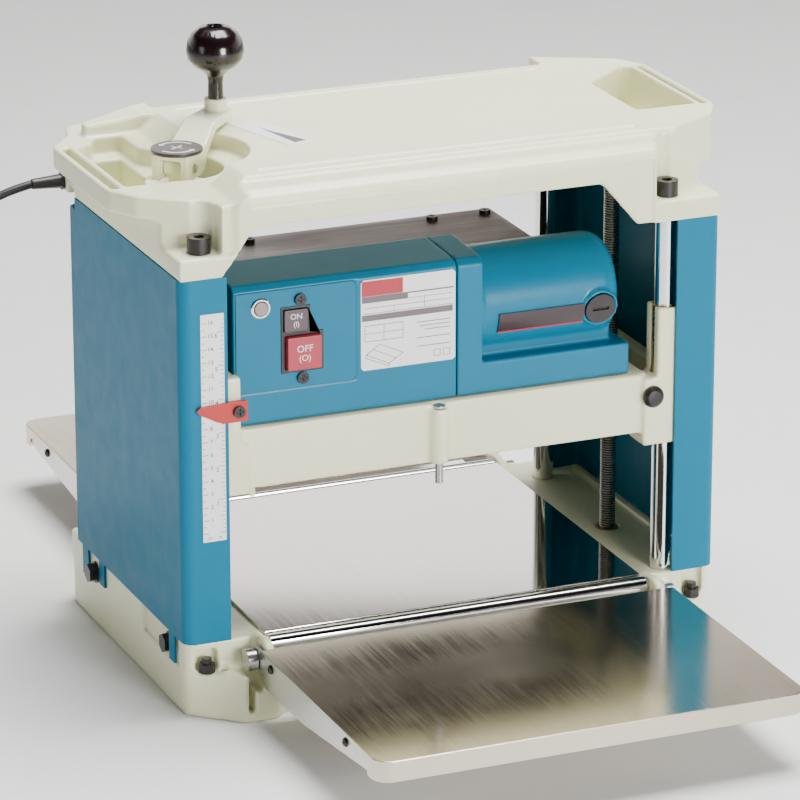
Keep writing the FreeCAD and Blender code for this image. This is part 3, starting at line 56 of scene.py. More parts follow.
# places on the object, in millimetres
SCALE_ZERO = 143.6
CENTIMETRE_MARKS, INCH_MARKS, INCH = 33, 52, 25.4
BARREL_AXIS, BARREL_RADIUS = (-82, 279), 40
BADGE_LEFT, BADGE_RIGHT = 40, 109
PLATEAU = 400.5
RAIL_OUTSIDE, RAIL_SCREW_LEVEL, RAIL_SCREW_REACH = 164.5, 49.5, (179.7, 323.6)
SCREW_PITCH = 2
CORD_DIAMETER, CORD_LENGTH = 6.5, 2370
CORD_ROUTE = [(-238.8, 122, 341.4), (-272, 122, 335.5), (-298, 123, 311), (-309, 125, 270),
              (-310, 129, 214), (-306, 133, 160), (-298, 137, 108), (-291.5, 142, 66),
              (-288, 152, 36), (-286.8, 172, 20.4), (-286.4, 198, 16.6)]
PLUG_PIN_LENGTH, PLUG_PIN_RADIUS, PLUG_PIN_ACROSS = 19, 2.4, 9.5


# ---------------------------------------------------------------- camera, floor and lights
def stage():
    """A long lens from the front left and above, a pale floor, and three soft lights."""
    camera = bpy.data.objects.new("camera", bpy.data.cameras.new("camera"))
    camera.data.lens, camera.data.sensor_width = 215.82, 36
    camera.data.clip_end = 100
    camera.location = (-1.3169, -3.1833, 1.3714)
    camera.rotation_euler = (math.radians(90 - 19.13), math.radians(0.046), math.radians(-22.669))
    SCENE.collection.objects.link(camera)
    SCENE.camera = camera

    floor = bpy.data.objects.new("floor", bpy.data.meshes.new("floor"))
    half = 9
    floor.data.from_pydata([(-half, -half, 0), (half, -half, 0), (half, half, 0), (-half, half, 0)],
                           [], [(0, 1, 2, 3)])
    SCENE.collection.objects.link(floor)
    floor.data.materials.append(paint("floor_paper", (0.86, 0.86, 0.85), 0.7, mottle=0.02))

    sky()
    for name, place, aim, size, power in (
            ("overhead", (0.35, 0.1, 2.4), (0, 0, 0.2), 1.3, 125),
            ("key", (0.55, -3.1, 0.75), (0, 0, 0.15), 0.9, 120),
            ("left_fill", (-2.9, -0.7, 0.9), (0, 0, 0.2), 1.0, 8)):
        lamp = bpy.data.objects.new(name, bpy.data.lights.new(name, "AREA"))
        lamp.data.size, lamp.data.energy = size, power
        lamp.location = place
        lamp.rotation_euler = (Vector(aim) - Vector(place)).to_track_quat("-Z", "Y").to_euler()
        SCENE.collection.objects.link(lamp)


def sky():
    """A studio surround: bright low walls behind and to the right, a dark ring above them, a pale top."""
    world = bpy.data.worlds.new("studio")
    SCENE.world = world
    world.use_nodes = True
    nodes, links = world.node_tree.nodes, world.node_tree.links
    way = nodes.new("ShaderNodeTexCoord")
    parts = nodes.new("ShaderNodeSeparateXYZ")
    links.new(way.outputs["Generated"], parts.inputs["Vector"])
    rise = nodes.new("ShaderNodeValToRGB")
    stops = rise.color_ramp.elements
    stops[0].position, stops[0].color = 0.366, (1.0, 0.985, 0.95, 1)
    stops[1].position, stops[1].color = 1.0, (0.80, 0.80, 0.80, 1)
    for position, color in ((0.371, (0.050, 0.038, 0.030)), (0.70, (0.045, 0.035, 0.030)),
                            (0.82, (0.60, 0.60, 0.60))):
        stops.new(position).color = (*color, 1)
    links.new(parts.outputs["Z"], rise.inputs["Fac"])
    toward = nodes.new("ShaderNodeVectorMath")
    toward.operation = "DOT_PRODUCT"
    toward.inputs[1].default_value = (0.50, 0.86, 0)
    links.new(way.outputs["Generated"], toward.inputs[0])
    side = nodes.new("ShaderNodeMapRange")
    side.inputs["From Min"].default_value, side.inputs["From Max"].default_value = -0.2, 0.7
    side.inputs["To Min"].default_value, side.inputs["To Max"].default_value = 0.08, 2.1
    links.new(toward.outputs["Value"], side.inputs["Value"])
    links.new(rise.outputs["Color"], nodes["Background"].inputs["Color"])
    links.new(side.outputs["Result"], nodes["Background"].inputs["Strength"])


# ---------------------------------------------------------------- materials
class Tree:
    """A short way to write a node material."""

    def __init__(self, name):
        self.material = bpy.data.materials.new(name)
        self.material.use_nodes = True
        self.nodes = self.material.node_tree.nodes
        self.links = self.material.node_tree.links
        self.shader = self.nodes["Principled BSDF"]

    def add(self, kind, settings=None, **inputs):
        node = self.nodes.new("ShaderNode" + kind)
        for key, value in (settings or {}).items():
            setattr(node, key, value)
        for key, value in inputs.items():
            socket = node.inputs[int(key[1:])] if key[0] == "i" and key[1:].isdigit() \
                else node.inputs[key.replace("_", " ")]
            if isinstance(value, bpy.types.NodeSocket):
                self.links.new(value, socket)
            else:
                socket.default_value = value
        return node

    def set(self, **inputs):
        for key, value in inputs.items():
            socket = self.shader.inputs[key.replace("_", " ")]
            if isinstance(value, bpy.types.NodeSocket):
                self.links.new(value, socket)
            else:
                socket.default_value = value

    def place(self, scale=(1, 1, 1)):
        spot = self.add("TexCoord").outputs["Object"]
        return self.add("Mapping", Vector=spot, Scale=scale).outputs["Vector"]

    def noise(self, scale, stretch=(1, 1, 1), detail=3, rough=0.5):
        return self.add("TexNoise", Vector=self.place(stretch), Scale=scale, Detail=detail,
                        Roughness=rough).outputs["Fac"]

    def spread(self, value, low, high, start=0.3, end=0.7):
        return self.add("MapRange", Value=value, From_Min=start, From_Max=end, To_Min=low,
                        To_Max=high).outputs["Result"]

    def tint(self, factor, first, second):
        mix = self.add("Mix", {"data_type": "RGBA"})
        self.links.new(factor, mix.inputs[0])
        mix.inputs[6].default_value = (*first, 1)
        mix.inputs[7].default_value = (*second, 1)
        return mix.outputs[2]

    def bump(self, height, strength, distance, normal=None):
        node = self.add("Bump", Height=height, Strength=strength, Distance=distance)
        if normal is not None:
            self.links.new(normal, node.inputs["Normal"])
        return node.outputs["Normal"]


def shade(color, factor):
    """A colour made lighter or darker."""
    return tuple(min(1, part * factor) for part in color)


def paint(name, color, rough, coat=0.0, mottle=0.05, peel=0.0, grain=260, edge_wear_and_highlight=0.0,
          specular=0.5):
    """Paint, enamel or moulded plastic: mottled tone and gloss, orange peel, and lighter speckled edges,
    partly wear and partly painted highlight.
    """
    tree = Tree(name)
    cloud = tree.noise(14, detail=5, rough=0.6)
    tone = tree.tint(tree.spread(cloud, 0, 1), shade(color, 1 - mottle), shade(color, 1 + mottle))
    if edge_wear_and_highlight:
        # Lighter speckled edges: partly wear, partly a painted highlight where light catches the rounded
        # edges.
        rim = tree.add("Bevel", {"samples": 6}, Radius=1.2 * MM)
        flat = tree.add("NewGeometry").outputs["Normal"]
        near = tree.add("VectorMath", {"operation": "DOT_PRODUCT"})
        tree.links.new(rim.outputs["Normal"], near.inputs[0])
        tree.links.new(flat, near.inputs[1])
        edge = tree.spread(near.outputs["Value"], 1, 0, 0.90, 0.995)
        speck = tree.spread(tree.noise(420, detail=6, rough=0.7), 0, 1, 0.42, 0.62)
        worn_and_lit_edge = tree.add("Math", {"operation": "MULTIPLY"}, i0=edge, i1=speck).outputs[0]
        amount = tree.add("Math", {"operation": "MULTIPLY"}, i0=worn_and_lit_edge, i1=edge_wear_and_highlight).outputs[0]
        mix = tree.add("Mix", {"data_type": "RGBA"})
        tree.links.new(amount, mix.inputs[0])
        tree.links.new(tone, mix.inputs[6])
        mix.inputs[7].default_value = (*shade(color, 1.35), 1)
        tone = mix.outputs[2]
    gloss = tree.spread(tree.noise(60, detail=4), rough * 0.88, rough * 1.12)
    tree.set(Base_Color=tone, Roughness=gloss, Coat_Weight=coat, Coat_Roughness=0.08,
             Specular_IOR_Level=specular)
    if peel:
        fine = tree.noise(grain, detail=2)
        tree.set(Normal=tree.bump(fine, peel, 0.1 * MM))
    return tree.material


def metal(name, color, rough, streak=None, depth=0.15, mottle=0.06, fine=500, aniso=0.0):
    """Bare or plated metal; streak is the direction that its polishing lines run in."""
    tree = Tree(name)
    stretch = {"x": (0.03, 1, 1), "y": (1, 0.03, 1), "z": (1, 1, 0.03)}.get(streak, (1, 1, 1))
    lines = tree.noise(fine, stretch, detail=4, rough=0.6)
    cloud = tree.noise(9, detail=4, rough=0.55)
    tone = tree.tint(tree.spread(cloud, 0, 1), shade(color, 1 - mottle), shade(color, 1 + mottle))
    both = tree.add("Math", {"operation": "ADD"}, i0=lines, i1=cloud).outputs[0]
    tree.set(Base_Color=tone, Metallic=1, Anisotropic=aniso,
             Roughness=tree.spread(both, rough * 0.75, rough * 1.3, 0.7, 1.3),
             Normal=tree.bump(lines, depth, 0.02 * MM))
    return tree.material


def thread_steel(name, pitch_mm):
    """Bright steel cut with a fine screw thread along Z, with painted shade in the grooves and painted
    highlight on the crests.
    """
    tree = Tree(name)
    wave = tree.add("TexWave", {"bands_direction": "Z"}, Vector=tree.place(),
                    Scale=math.pi / 10 / (pitch_mm * MM), Distortion=0.0).outputs["Fac"]
    # Dark and bright colour bands: painted shade in the thread's grooves and painted highlight on its
    # crests.
    tone = tree.tint(wave, (0.10, 0.095, 0.09), (0.50, 0.49, 0.48))
    tree.set(Base_Color=tone, Metallic=1, Roughness=tree.spread(tree.noise(300), 0.24, 0.38),
             Normal=tree.bump(wave, 0.9, 0.5 * MM))
    return tree.material


CREAM = (0.800, 0.800, 0.540)
TEAL = (0.0, 0.150, 0.258)
BLACK = (0.020, 0.015, 0.016)


def finishes():
    """One material for each of the record's slots."""
    return {
        "cream_casting": paint("cream_enamel", CREAM, 0.34, 0.20, 0.025, 0.25, 330, 0.3),
        "teal_sheet": paint("teal_enamel", TEAL, 0.42, 0.0, 0.02, 0.12, 300, 0.25, 0.12),
        "teal_housing": paint("teal_housing_enamel", TEAL, 0.32, 0.04, 0.04, 0.3, 420, 0.25, 0.22),
        "table_steel": metal("polished_sheet", (0.84, 0.81, 0.77), 0.05, "y", 0.025, 0.03, 420, 0.1),
        # The chip cover's dark brown is painted shade: the sheet is coloured as dark as it looks in
        # shadow.
        "chip_steel": metal("chip_sheet_painted_shade", (0.120, 0.088, 0.078), 0.42, "x", 0.2, 0.08, 300),
        "chrome": metal("hard_chrome", (0.80, 0.80, 0.80), 0.07, "z", 0.05, 0.02, 900),
        "machined_steel": metal("turned_steel", (0.46, 0.45, 0.44), 0.28, None, 0.25, 0.10, 700),
        "blade_steel": metal("ground_steel", (0.62, 0.62, 0.63), 0.20, "x", 0.25, 0.05, 900),
        "black_fastener": paint("black_oxide", (0.010, 0.007, 0.007), 0.36, 0.0, 0.25, 0.3, 900, 0.6),
        "bearing_brass": metal("bearing_brass", (0.60, 0.42, 0.17), 0.30, None, 0.3, 0.10, 600),
        "feed_rubber": paint("roller_rubber", (0.030, 0.028, 0.027), 0.62, 0, 0.2, 0.6, 800),
        "belt_rubber": paint("cord_rubber", (0.016, 0.015, 0.016), 0.45, 0, 0.15, 0.35, 1200),
        "knob_plastic": paint("knob_phenolic", (0.006, 0.002, 0.003), 0.18, 0.12, 0.15, 0.05, 200),
        "black_plastic": paint("black_moulding", BLACK, 0.42, 0.0, 0.15, 0.5, 1100, 0.2),
        "red_plastic": paint("red_moulding", (0.44, 0.010, 0.005), 0.36, 0.05, 0.06, 0.3, 700, 0.2),
        "on_plastic": paint("on_moulding", (0.080, 0.052, 0.062), 0.40, 0.0, 0.08, 0.3, 900, 0.3),
        "off_plastic": paint("off_moulding", (0.38, 0.022, 0.045), 0.38, 0.05, 0.06, 0.3, 900, 0.3),
        "grey_plastic": paint("grey_moulding", (0.30, 0.24, 0.22), 0.35, 0.1, 0.1, 0.3, 900, 0.2),
        "fan_plastic": paint("fan_moulding", (0.05, 0.05, 0.052), 0.5, 0, 0.1, 0.4, 700),
        "white_plate": paint("white_print", (0.84, 0.85, 0.85), 0.35, 0.1, 0.015, 0.05, 300),
        "disc_plate": paint("dark_plate", (0.030, 0.015, 0.020), 0.32, 0.15, 0.12, 0.1, 500, 0.3),
    }


FINISH = finishes()
INK = paint("printing_ink", (0.05, 0.045, 0.05), 0.5, mottle=0.1)
GREY_INK = paint("grey_ink", (0.13, 0.10, 0.115), 0.45, mottle=0.08)
RED_INK = paint("red_ink", (0.42, 0.008, 0.03), 0.45, mottle=0.06)
PALE_INK = paint("pale_ink", (0.70, 0.68, 0.66), 0.45, mottle=0.04)
LEAF_STEEL = metal("leaf_sheet", (0.62, 0.55, 0.45), 0.15, "y", 0.10, 0.05, 420, 0.2)
GALVANISED = metal("galvanised_rail", (0.66, 0.65, 0.62), 0.30, "y", 0.3, 0.10, 180)


# ---------------------------------------------------------------- mesh helpers
def enter(name, mesh, body, material=None, turn=None):
    """A new piece from a mesh, riding on a body."""
    piece = bpy.data.objects.new(name, mesh)
    SCENE.collection.objects.link(piece)
    if turn is not None:
        piece.matrix_world = turn
    if material is not None:
        mesh.materials.clear()
        mesh.materials.append(material)
    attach(piece, body)
    return piece


def settle(piece):
    """The piece's mesh with its modifiers applied."""
    bpy.context.view_layer.update()
    graph = bpy.context.evaluated_depsgraph_get()
    mesh = bpy.data.meshes.new_from_object(piece.evaluated_get(graph))
    piece.modifiers.clear()
    piece.data = mesh
    return piece


def smooth(mesh, degrees=35):
    """Smooth shading, with the edges sharper than the angle left crisp."""
    work = bmesh.new()
    work.from_mesh(mesh)
    for face in work.faces:
        face.smooth = True
    for edge in work.edges:
        edge.smooth = len(edge.link_faces) == 2 and edge.calc_face_angle(0) < math.radians(degrees)
    work.to_mesh(mesh)
    work.free()


def plain_mesh(node):
    """A CAD node's mesh with its doubled corners joined and its flat faces whole."""
    mesh = NODES[node].data.copy()
    work = bmesh.new()
    work.from_mesh(mesh)
    bmesh.ops.remove_doubles(work, verts=work.verts, dist=0.002 * MM)
    bmesh.ops.dissolve_limit(work, angle_limit=math.radians(0.4), verts=work.verts, edges=work.edges)
    work.to_mesh(mesh)
    work.free()
    if mesh.has_custom_normals:
        mesh.normals_split_custom_set([(0, 0, 0)] * len(mesh.loops))
    return mesh


def skin(node, round_mm=0.5, segments=2, voxel_mm=0, relax=4, material=None, sharp=32):
    """A finished copy of a CAD node that stands for it, with its edges rounded or cast soft."""
    slot = SLOT_OF[node]
    piece = enter(node + "_skin", plain_mesh(node), BODY_OF[node], material or FINISH[slot])
    if voxel_mm:
        remesh = piece.modifiers.new("cast", "REMESH")
        remesh.mode, remesh.voxel_size = "VOXEL", voxel_mm * MM
        even = piece.modifiers.new("relax", "SMOOTH")
        even.factor, even.iterations = 0.5, relax
        sharp = 180
    elif round_mm:
        bevel = piece.modifiers.new("edges", "BEVEL")
        bevel.width, bevel.segments = round_mm * MM, segments
        bevel.limit_method, bevel.angle_limit = "ANGLE", math.radians(33)
        bevel.miter_outer = "MITER_ARC"
    settle(piece)
    smooth(piece.data, sharp)
    if not voxel_mm and round_mm:
        weigh = piece.modifiers.new("even_shading", "WEIGHTED_NORMAL")
        weigh.keep_sharp = True
        settle(piece)
    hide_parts(node)
    return piece


def lathe(name, profile, body, material, centre, axis="z", steps=48):
    """A (radius, height) profile in mm turned about an axis through centre."""
    work = bmesh.new()
    rings = []
    for radius, height in profile:
        if radius < 1e-6:
            rings.append([work.verts.new((0, 0, height * MM))])
        else:
            rings.append([work.verts.new((radius * MM * math.cos(2 * math.pi * k / steps),
                                          radius * MM * math.sin(2 * math.pi * k / steps),
                                          height * MM)) for k in range(steps)])
    for low, high in zip(rings, rings[1:]):
        for k in range(steps):
            after = (k + 1) % steps
            corners = [low[k % len(low)], low[after % len(low)], high[after % len(high)],
                       high[k % len(high)]]
            corners = list(dict.fromkeys(corners))
            if len(corners) > 2:
                work.faces.new(corners)
    bmesh.ops.recalc_face_normals(work, faces=work.faces)
    mesh = bpy.data.meshes.new(name)
    work.to_mesh(mesh)
    work.free()
    smooth(mesh, 32)
    turn = {"z": Matrix.Identity(4), "x": Matrix.Rotation(math.pi / 2, 4, "Y"),
            "y": Matrix.Rotation(math.pi / 2, 4, "X")}[axis]
    mesh.transform(Matrix.Translation(Vector(centre)) @ turn)
    return enter(name, mesh, body, material)


def lettering(name, marks, body, material):
    """Raised generic characters on a front face; each mark is (text, height in mm, centre in mm)."""
    work = bmesh.new()
    for text, height, place in marks:
        curve = bpy.data.curves.new(name, "FONT")
        curve.body, curve.size = text, height * MM * 1.4
        curve.align_x, curve.align_y = "CENTER", "CENTER"
        curve.extrude, curve.offset = 0.12 * MM, 0.03 * MM
        curve.resolution_u = 3
        writer = bpy.data.objects.new(name, curve)
        SCENE.collection.objects.link(writer)
        mesh = bpy.data.meshes.new_from_object(writer.evaluated_get(
            bpy.context.evaluated_depsgraph_get()))
        mesh.transform(Matrix.Translation([part * MM for part in place])
                       @ Matrix.Rotation(math.pi / 2, 4, "X"))
        work.from_mesh(mesh)
        bpy.data.objects.remove(writer)
    mesh = bpy.data.meshes.new(name)
    work.to_mesh(mesh)
    work.free()
    return enter(name, mesh, body, material)


def plate(name, outlines, span, body, material, face="front"):
    """Flat outlines (mm) given a thickness: x and z on a front face, x and y on a top."""
    work = bmesh.new()
    for outline in outlines:
        rings = []
        for depth in span:
            rings.append([work.verts.new([part * MM for part in
                                          ((a, depth, b) if face == "front" else (a, b, depth))])
                          for a, b in outline])
        low, high = rings
        work.faces.new(low)
        work.faces.new(high)
        for k in range(len(low)):
            after = (k + 1) % len(low)
            work.faces.new((low[k], low[after], high[after], high[k]))
    bmesh.ops.recalc_face_normals(work, faces=work.faces)
    mesh = bpy.data.meshes.new(name)
    work.to_mesh(mesh)
    work.free()
    return enter(name, mesh, body, material)


def stroke(a, b, c, d, width=0.5):
    """The outline of a thin straight line from (a, b) to (c, d)."""
    along = Vector((c - a, d - b)).normalized() * width / 2
    across = Vector((-along.y, along.x))
    return [(a + across.x, b + across.y), (a - across.x, b - across.y),
            (c - across.x, d - across.y), (c + across.x, d + across.y)]


def panel(a, b, c, d):
    """The outline of a filled rectangle between two corners."""
    return [(a, b), (c, b), (c, d), (a, d)]


def frame_of(a, b, c, d, width=0.4):
    """The four lines round a rectangle."""
    return [stroke(a, b, c, b, width), stroke(c, b, c, d, width), stroke(c, d, a, d, width),
            stroke(a, d, a, b, width)]


def arc_band(centre, inner, outer, start, end, steps=14):
    """The outline of part of a ring, between two angles in degrees."""
    angles = [math.radians(start + (end - start) * k / steps) for k in range(steps + 1)]
    return ([(centre[0] + outer * math.cos(a), centre[1] + outer * math.sin(a)) for a in angles]
            + [(centre[0] + inner * math.cos(a), centre[1] + inner * math.sin(a))
               for a in reversed(angles)])


def in_mm(node):
    """A CAD node's lowest and highest corners in millimetres."""
    low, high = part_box(node)
    return [part / MM for part in low], [part / MM for part in high]


# ---------------------------------------------------------------- the pieces
def castings():
    """Cast and moulded pieces, with their edges softened as a mould leaves them."""
    skin("base", voxel_mm=1.7, relax=5)
    skin("top_frame", voxel_mm=1.5, relax=6)
    skin("head_frame", voxel_mm=1.6, relax=4)
    skin("crank_arm", voxel_mm=0.7, relax=5)
    skin("crank_hub", voxel_mm=0.6, relax=3)
    skin("motor_housing", voxel_mm=1.1, relax=5)
    skin("switch_housing", voxel_mm=1.1, relax=4)


def sheet_parts():
    """Bent and pressed sheet, with small rounded edges."""
    for side in ("left", "right"):
        skin(side + "_cover", 0.5)
    skin("main_table", 0.6)
    skin("switch_panel", 0.5)
    skin("chip_cover", 0.6)
    skin("scale_plate", 0.15, 1)
    skin("depth_pointer", 0.5)
    for end in ("front", "rear"):
        skin(end + "_table_plate", 0.7, 3, material=LEAF_STEEL)
        skin(end + "_table_rails", 0.4, material=GALVANISED)


def turned_parts():
    """Turned, drawn and fastened pieces, and the buttons."""
    for node in ("guide_columns", "front_table_roller", "rear_table_roller"):
        skin(node, 0.6)
    for node in ("base_bolts", "top_frame_bolts", "head_screws", "table_hinge_pins", "brush_cap",
                 "direction_disc", "crank_pins", "depth_gauge_pin", "cord_relief"):
        skin(node, 0.35)
    skin("crank_knob", 0.0, sharp=50)
    for node in ("screw_bushes", "lead_nuts", "guide_bushes", "ball_bearings", "cutter_drum",
                 "cutter_pulley", "motor_pulley", "feed_sprocket", "infeed_roller", "outfeed_roller",
                 "armature", "cooling_fan", "stator", "drive_belt", "cross_shaft",
                 "cross_shaft_gears", "left_bevel_gear", "right_bevel_gear", "planer_blades",
                 "blade_clamps"):
        skin(node, 0.3, 1)
    for node in ("on_button", "off_button", "reset_button", "switch_body"):
        skin(node, 0.5)


def scale_marks():
    """Centimetres on the left and inches on the right, read at the pointer's height."""
    low, high = in_mm("scale_plate")
    front = low[1]
    lines, marks = [], []
    for tick in range(CENTIMETRE_MARKS):
        height = SCALE_ZERO + 5 * tick
        lines.append(stroke(low[0] + 0.6, height, low[0] + (4.6 if tick % 2 == 0 else 2.6), height, 0.45))
        if tick % 2 == 0 and tick:
            marks.append((str(tick // 2), 3.2, (low[0] + 7.4, front, height)))
    for tick in range(INCH_MARKS):
        height = SCALE_ZERO + INCH / 8 * tick
        reach = 4.6 if tick % 8 == 0 else 3 if tick % 4 == 0 else 1.8
        lines.append(stroke(high[0] - 0.6 - reach, height, high[0] - 0.6, height, 0.4))
        if tick % 8 == 0 and tick:
            marks.append((str(tick // 8), 3.4, (high[0] - 6.2, front, height - 2.6)))
    marks += [("cm", 2.4, (low[0] + 5, front, SCALE_ZERO - 3.6)),
              ("in", 2.4, (high[0] - 4.6, front, SCALE_ZERO - 3.6))]
    plate("scale_lines", lines, (front - 0.1, front + 0.1), "frame", GREY_INK)
    lettering("scale_figures", marks, "frame", GREY_INK)


def rating_plate():
    """A white card with a red block, grey bands, blank rows and a small drawing of a board."""
    front = in_mm("switch_housing")[0][1]
    card = [(-70, 249), (-68, 247), (2.5, 247), (4.5, 249), (4.5, 314), (2.5, 316), (-68, 316),
            (-70, 314)]
    plate("rating_card", [card], (front - 0.25, front + 0.4), "head", FINISH["white_plate"])
    ink = (front - 0.4, front - 0.2)
    plate("rating_red", [panel(-69.4, 303.5, -37, 315)], ink, "head", RED_INK)
    bands = [panel(-69.2, 298.4, -33, 303.3), panel(-33, 302.3, 3, 303.3),
             panel(-69.2, 284.6, 2.4, 289.2)]
    plate("rating_bands", bands, ink, "head", GREY_INK)
    lines = [stroke(-32, 298.6, 2.2, 298.6, 0.35), stroke(-68, 294.4, 2.2, 294.4, 0.35),
             stroke(-44, 290, -44, 294.4, 0.35), stroke(-20, 290, -20, 298.6, 0.35),
             stroke(-68, 290.2, 2.2, 290.2, 0.35)]
    lines += frame_of(-67, 269, -37, 281) + [stroke(-52, 269, -52, 281, 0.35),
                                            stroke(-67, 275, -37, 275, 0.35)]
    for height, start in ((279, -26), (276, -24), (273, -20), (267, -26), (260.5, -26)):
        lines.append(stroke(start, height, 0, height, 0.55))
    lines += frame_of(-12.5, 251.5, -7.5, 256.5) + frame_of(-5, 251.5, 0, 256.5)
    board = [(-66, 259), (-55, 266), (-37, 257.5), (-48, 250.5)]
    for (a, b), (c, d) in zip(board, board[1:] + board[:1]):
        lines.append(stroke(a, b, c, d, 0.45))
    lines += [stroke(-66, 259, -66, 256.5, 0.45), stroke(-66, 256.5, -48, 248.4, 0.45),
              stroke(-48, 250.5, -48, 248.4, 0.45), stroke(-60.5, 262.5, -42.5, 254, 0.4)]
    plate("rating_lines", lines, ink, "head", GREY_INK)


def barrel_badge():
    """A blank dark badge with a thin red lower edge, wrapped on the front of the motor barrel."""
    for name, angles, lift, material, slot in (
            ("badge_dark", (-26.5, -3.6), 0.5, FINISH["disc_plate"], "disc_plate"),
            ("badge_red", (-26.4, -24.4), 0.6, RED_INK, "off_plastic")):
        outside, inside = BARREL_RADIUS + lift, BARREL_RADIUS - 0.4
        work, steps, rows = bmesh.new(), 8, []
        for k in range(steps + 1):
            turn = math.radians(angles[0] + (angles[1] - angles[0]) * k / steps)
            rows.append([work.verts.new((x * MM, (BARREL_AXIS[0] - reach * math.cos(turn)) * MM,
                                         (BARREL_AXIS[1] + reach * math.sin(turn)) * MM))
                         for x, reach in ((BADGE_LEFT, outside), (BADGE_RIGHT, outside),
                                          (BADGE_RIGHT, inside), (BADGE_LEFT, inside))])
        for low, high in zip(rows, rows[1:]):
            for k in range(4):
                work.faces.new((low[k], low[(k + 1) % 4], high[(k + 1) % 4], high[k]))
        work.faces.new(rows[0])
        work.faces.new(rows[-1])
        bmesh.ops.recalc_face_normals(work, faces=work.faces)
        mesh = bpy.data.meshes.new(name)
        work.to_mesh(mesh)
        work.free()
        smooth(mesh, 30)
        enter(name, mesh, "head", material)


def switch_marks():
    """Generic words on the two buttons, and the bright ring round the reset button."""
    for node, body, word, sign, size in (("on_button", "on_key", "ON", "(I)", 4.3),
                                         ("off_button", "off_key", "OFF", "(O)", 5.2)):
        low, high = in_mm(node)
        middle, front = (low[0] + high[0]) / 2, low[1] - 0.02
        center = (low[2] + high[2]) / 2
        marks = [(word, size, (middle, front, center + size * 0.66)),
                 (sign, size * 0.9, (middle, front, center - size * 0.70))]
        lettering(node + "_words", marks, body, PALE_INK)
    low, high = in_mm("reset_button")
    centre = [(a + b) / 2 * MM for a, b in zip(low, high)]
    centre[1] = in_mm("switch_panel")[0][1] * MM
    lathe("reset_ring", [(5.25, -0.6), (5.25, 1.0), (5.9, 1.7), (6.9, 1.7), (7.7, 1.0), (7.9, -0.6)],
          "head", FINISH["chrome"], centre, "y")


def turning_arrows():
    """Two pale curved arrows and a short bar on the crank's disc."""
    low, high = in_mm("direction_disc")
    centre = ((low[0] + high[0]) / 2, (low[1] + high[1]) / 2)
    shapes = []
    for start in (20, 200):
        shapes.append(arc_band(centre, 12.6, 14.4, start, start + 105))
        tip = math.radians(start + 119)
        root = math.radians(start + 104)
        shapes.append([(centre[0] + radius * math.cos(angle), centre[1] + radius * math.sin(angle))
                       for radius, angle in ((10.6, root), (16.4, root), (13.5, tip))])
    shapes.append(stroke(centre[0] - 5, centre[1] - 3, centre[0] + 5, centre[1] + 3, 1.4))
    shapes.append(stroke(centre[0] - 3, centre[1] + 3.4, centre[0] + 3, centre[1] - 3.4, 1.2))
    plate("disc_arrows", shapes, (high[2] - 0.1, high[2] + 0.15), BODY_OF["direction_disc"], PALE_INK,
          "top")


def top_label():
    """A plain white label with a dark wedge, beside the crank's recess."""
    top = min(in_mm("top_frame")[1][2], PLATEAU)
    card = [(-118, 30), (-92, 21), (-74, -43.5), (-95, -46)]
    plate("top_label", [card], (top - 0.3, top + 0.35), "frame", FINISH["white_plate"],
          "top")
    plate("top_label_wedge", [[(-99, 8), (-95.5, -3), (-78.5, -38.5), (-88.5, -41)]],
          (top + 0.2, top + 0.5), "frame", GREY_INK, "top")


def rail_screws():
    """Small domed screws that hold each leaf's plate to its rails."""
    for end, sy in (("front", -1), ("rear", 1)):
        for side in (-1, 1):
            for reach in RAIL_SCREW_REACH:
                lathe(f"{end}_rail_screw_{'left' if side < 0 else 'right'}_{reach:.0f}",
                      [(3.5, 0), (3.5, 0.8 * side), (2.6, 1.9 * side), (1.2, 2.3 * side),
                       (1.2, 1.4 * side), (0, 1.4 * side)], f"{end}_leaf", FINISH["black_fastener"],
                      (side * RAIL_OUTSIDE * MM, sy * reach * MM, RAIL_SCREW_LEVEL * MM), "x", 24)


def coil_turns(centre, outer, gap, layers, columns, steps=18):
    """Turns side by side, inward on the top layer and outward on the bottom one."""
    points = []
    radii = [outer - gap * column for column in range(columns)]
    radii = radii + radii[::-1]
    for turn, radius in enumerate(radii):
        onward = radii[min(turn + 1, len(radii) - 1)]
        height = layers[0] if turn < columns else layers[1]
        after = layers[0] if turn + 1 < columns else layers[1]
        for k in range(1 if turn == 0 else 0, steps):
            share = max(0, (k - steps + 4) / 4)
            share = share * share * (3 - 2 * share)
            angle = 2 * math.pi * k / steps
            reach = radius + (onward - radius) * share
            rise = height + (after - height) * share
            if turn == 0:
                rise += gap * max(0, 1 - k / 5)
            points.append((centre[0] + reach * math.cos(angle), centre[1] + reach * math.sin(angle),
                           rise))
    return points


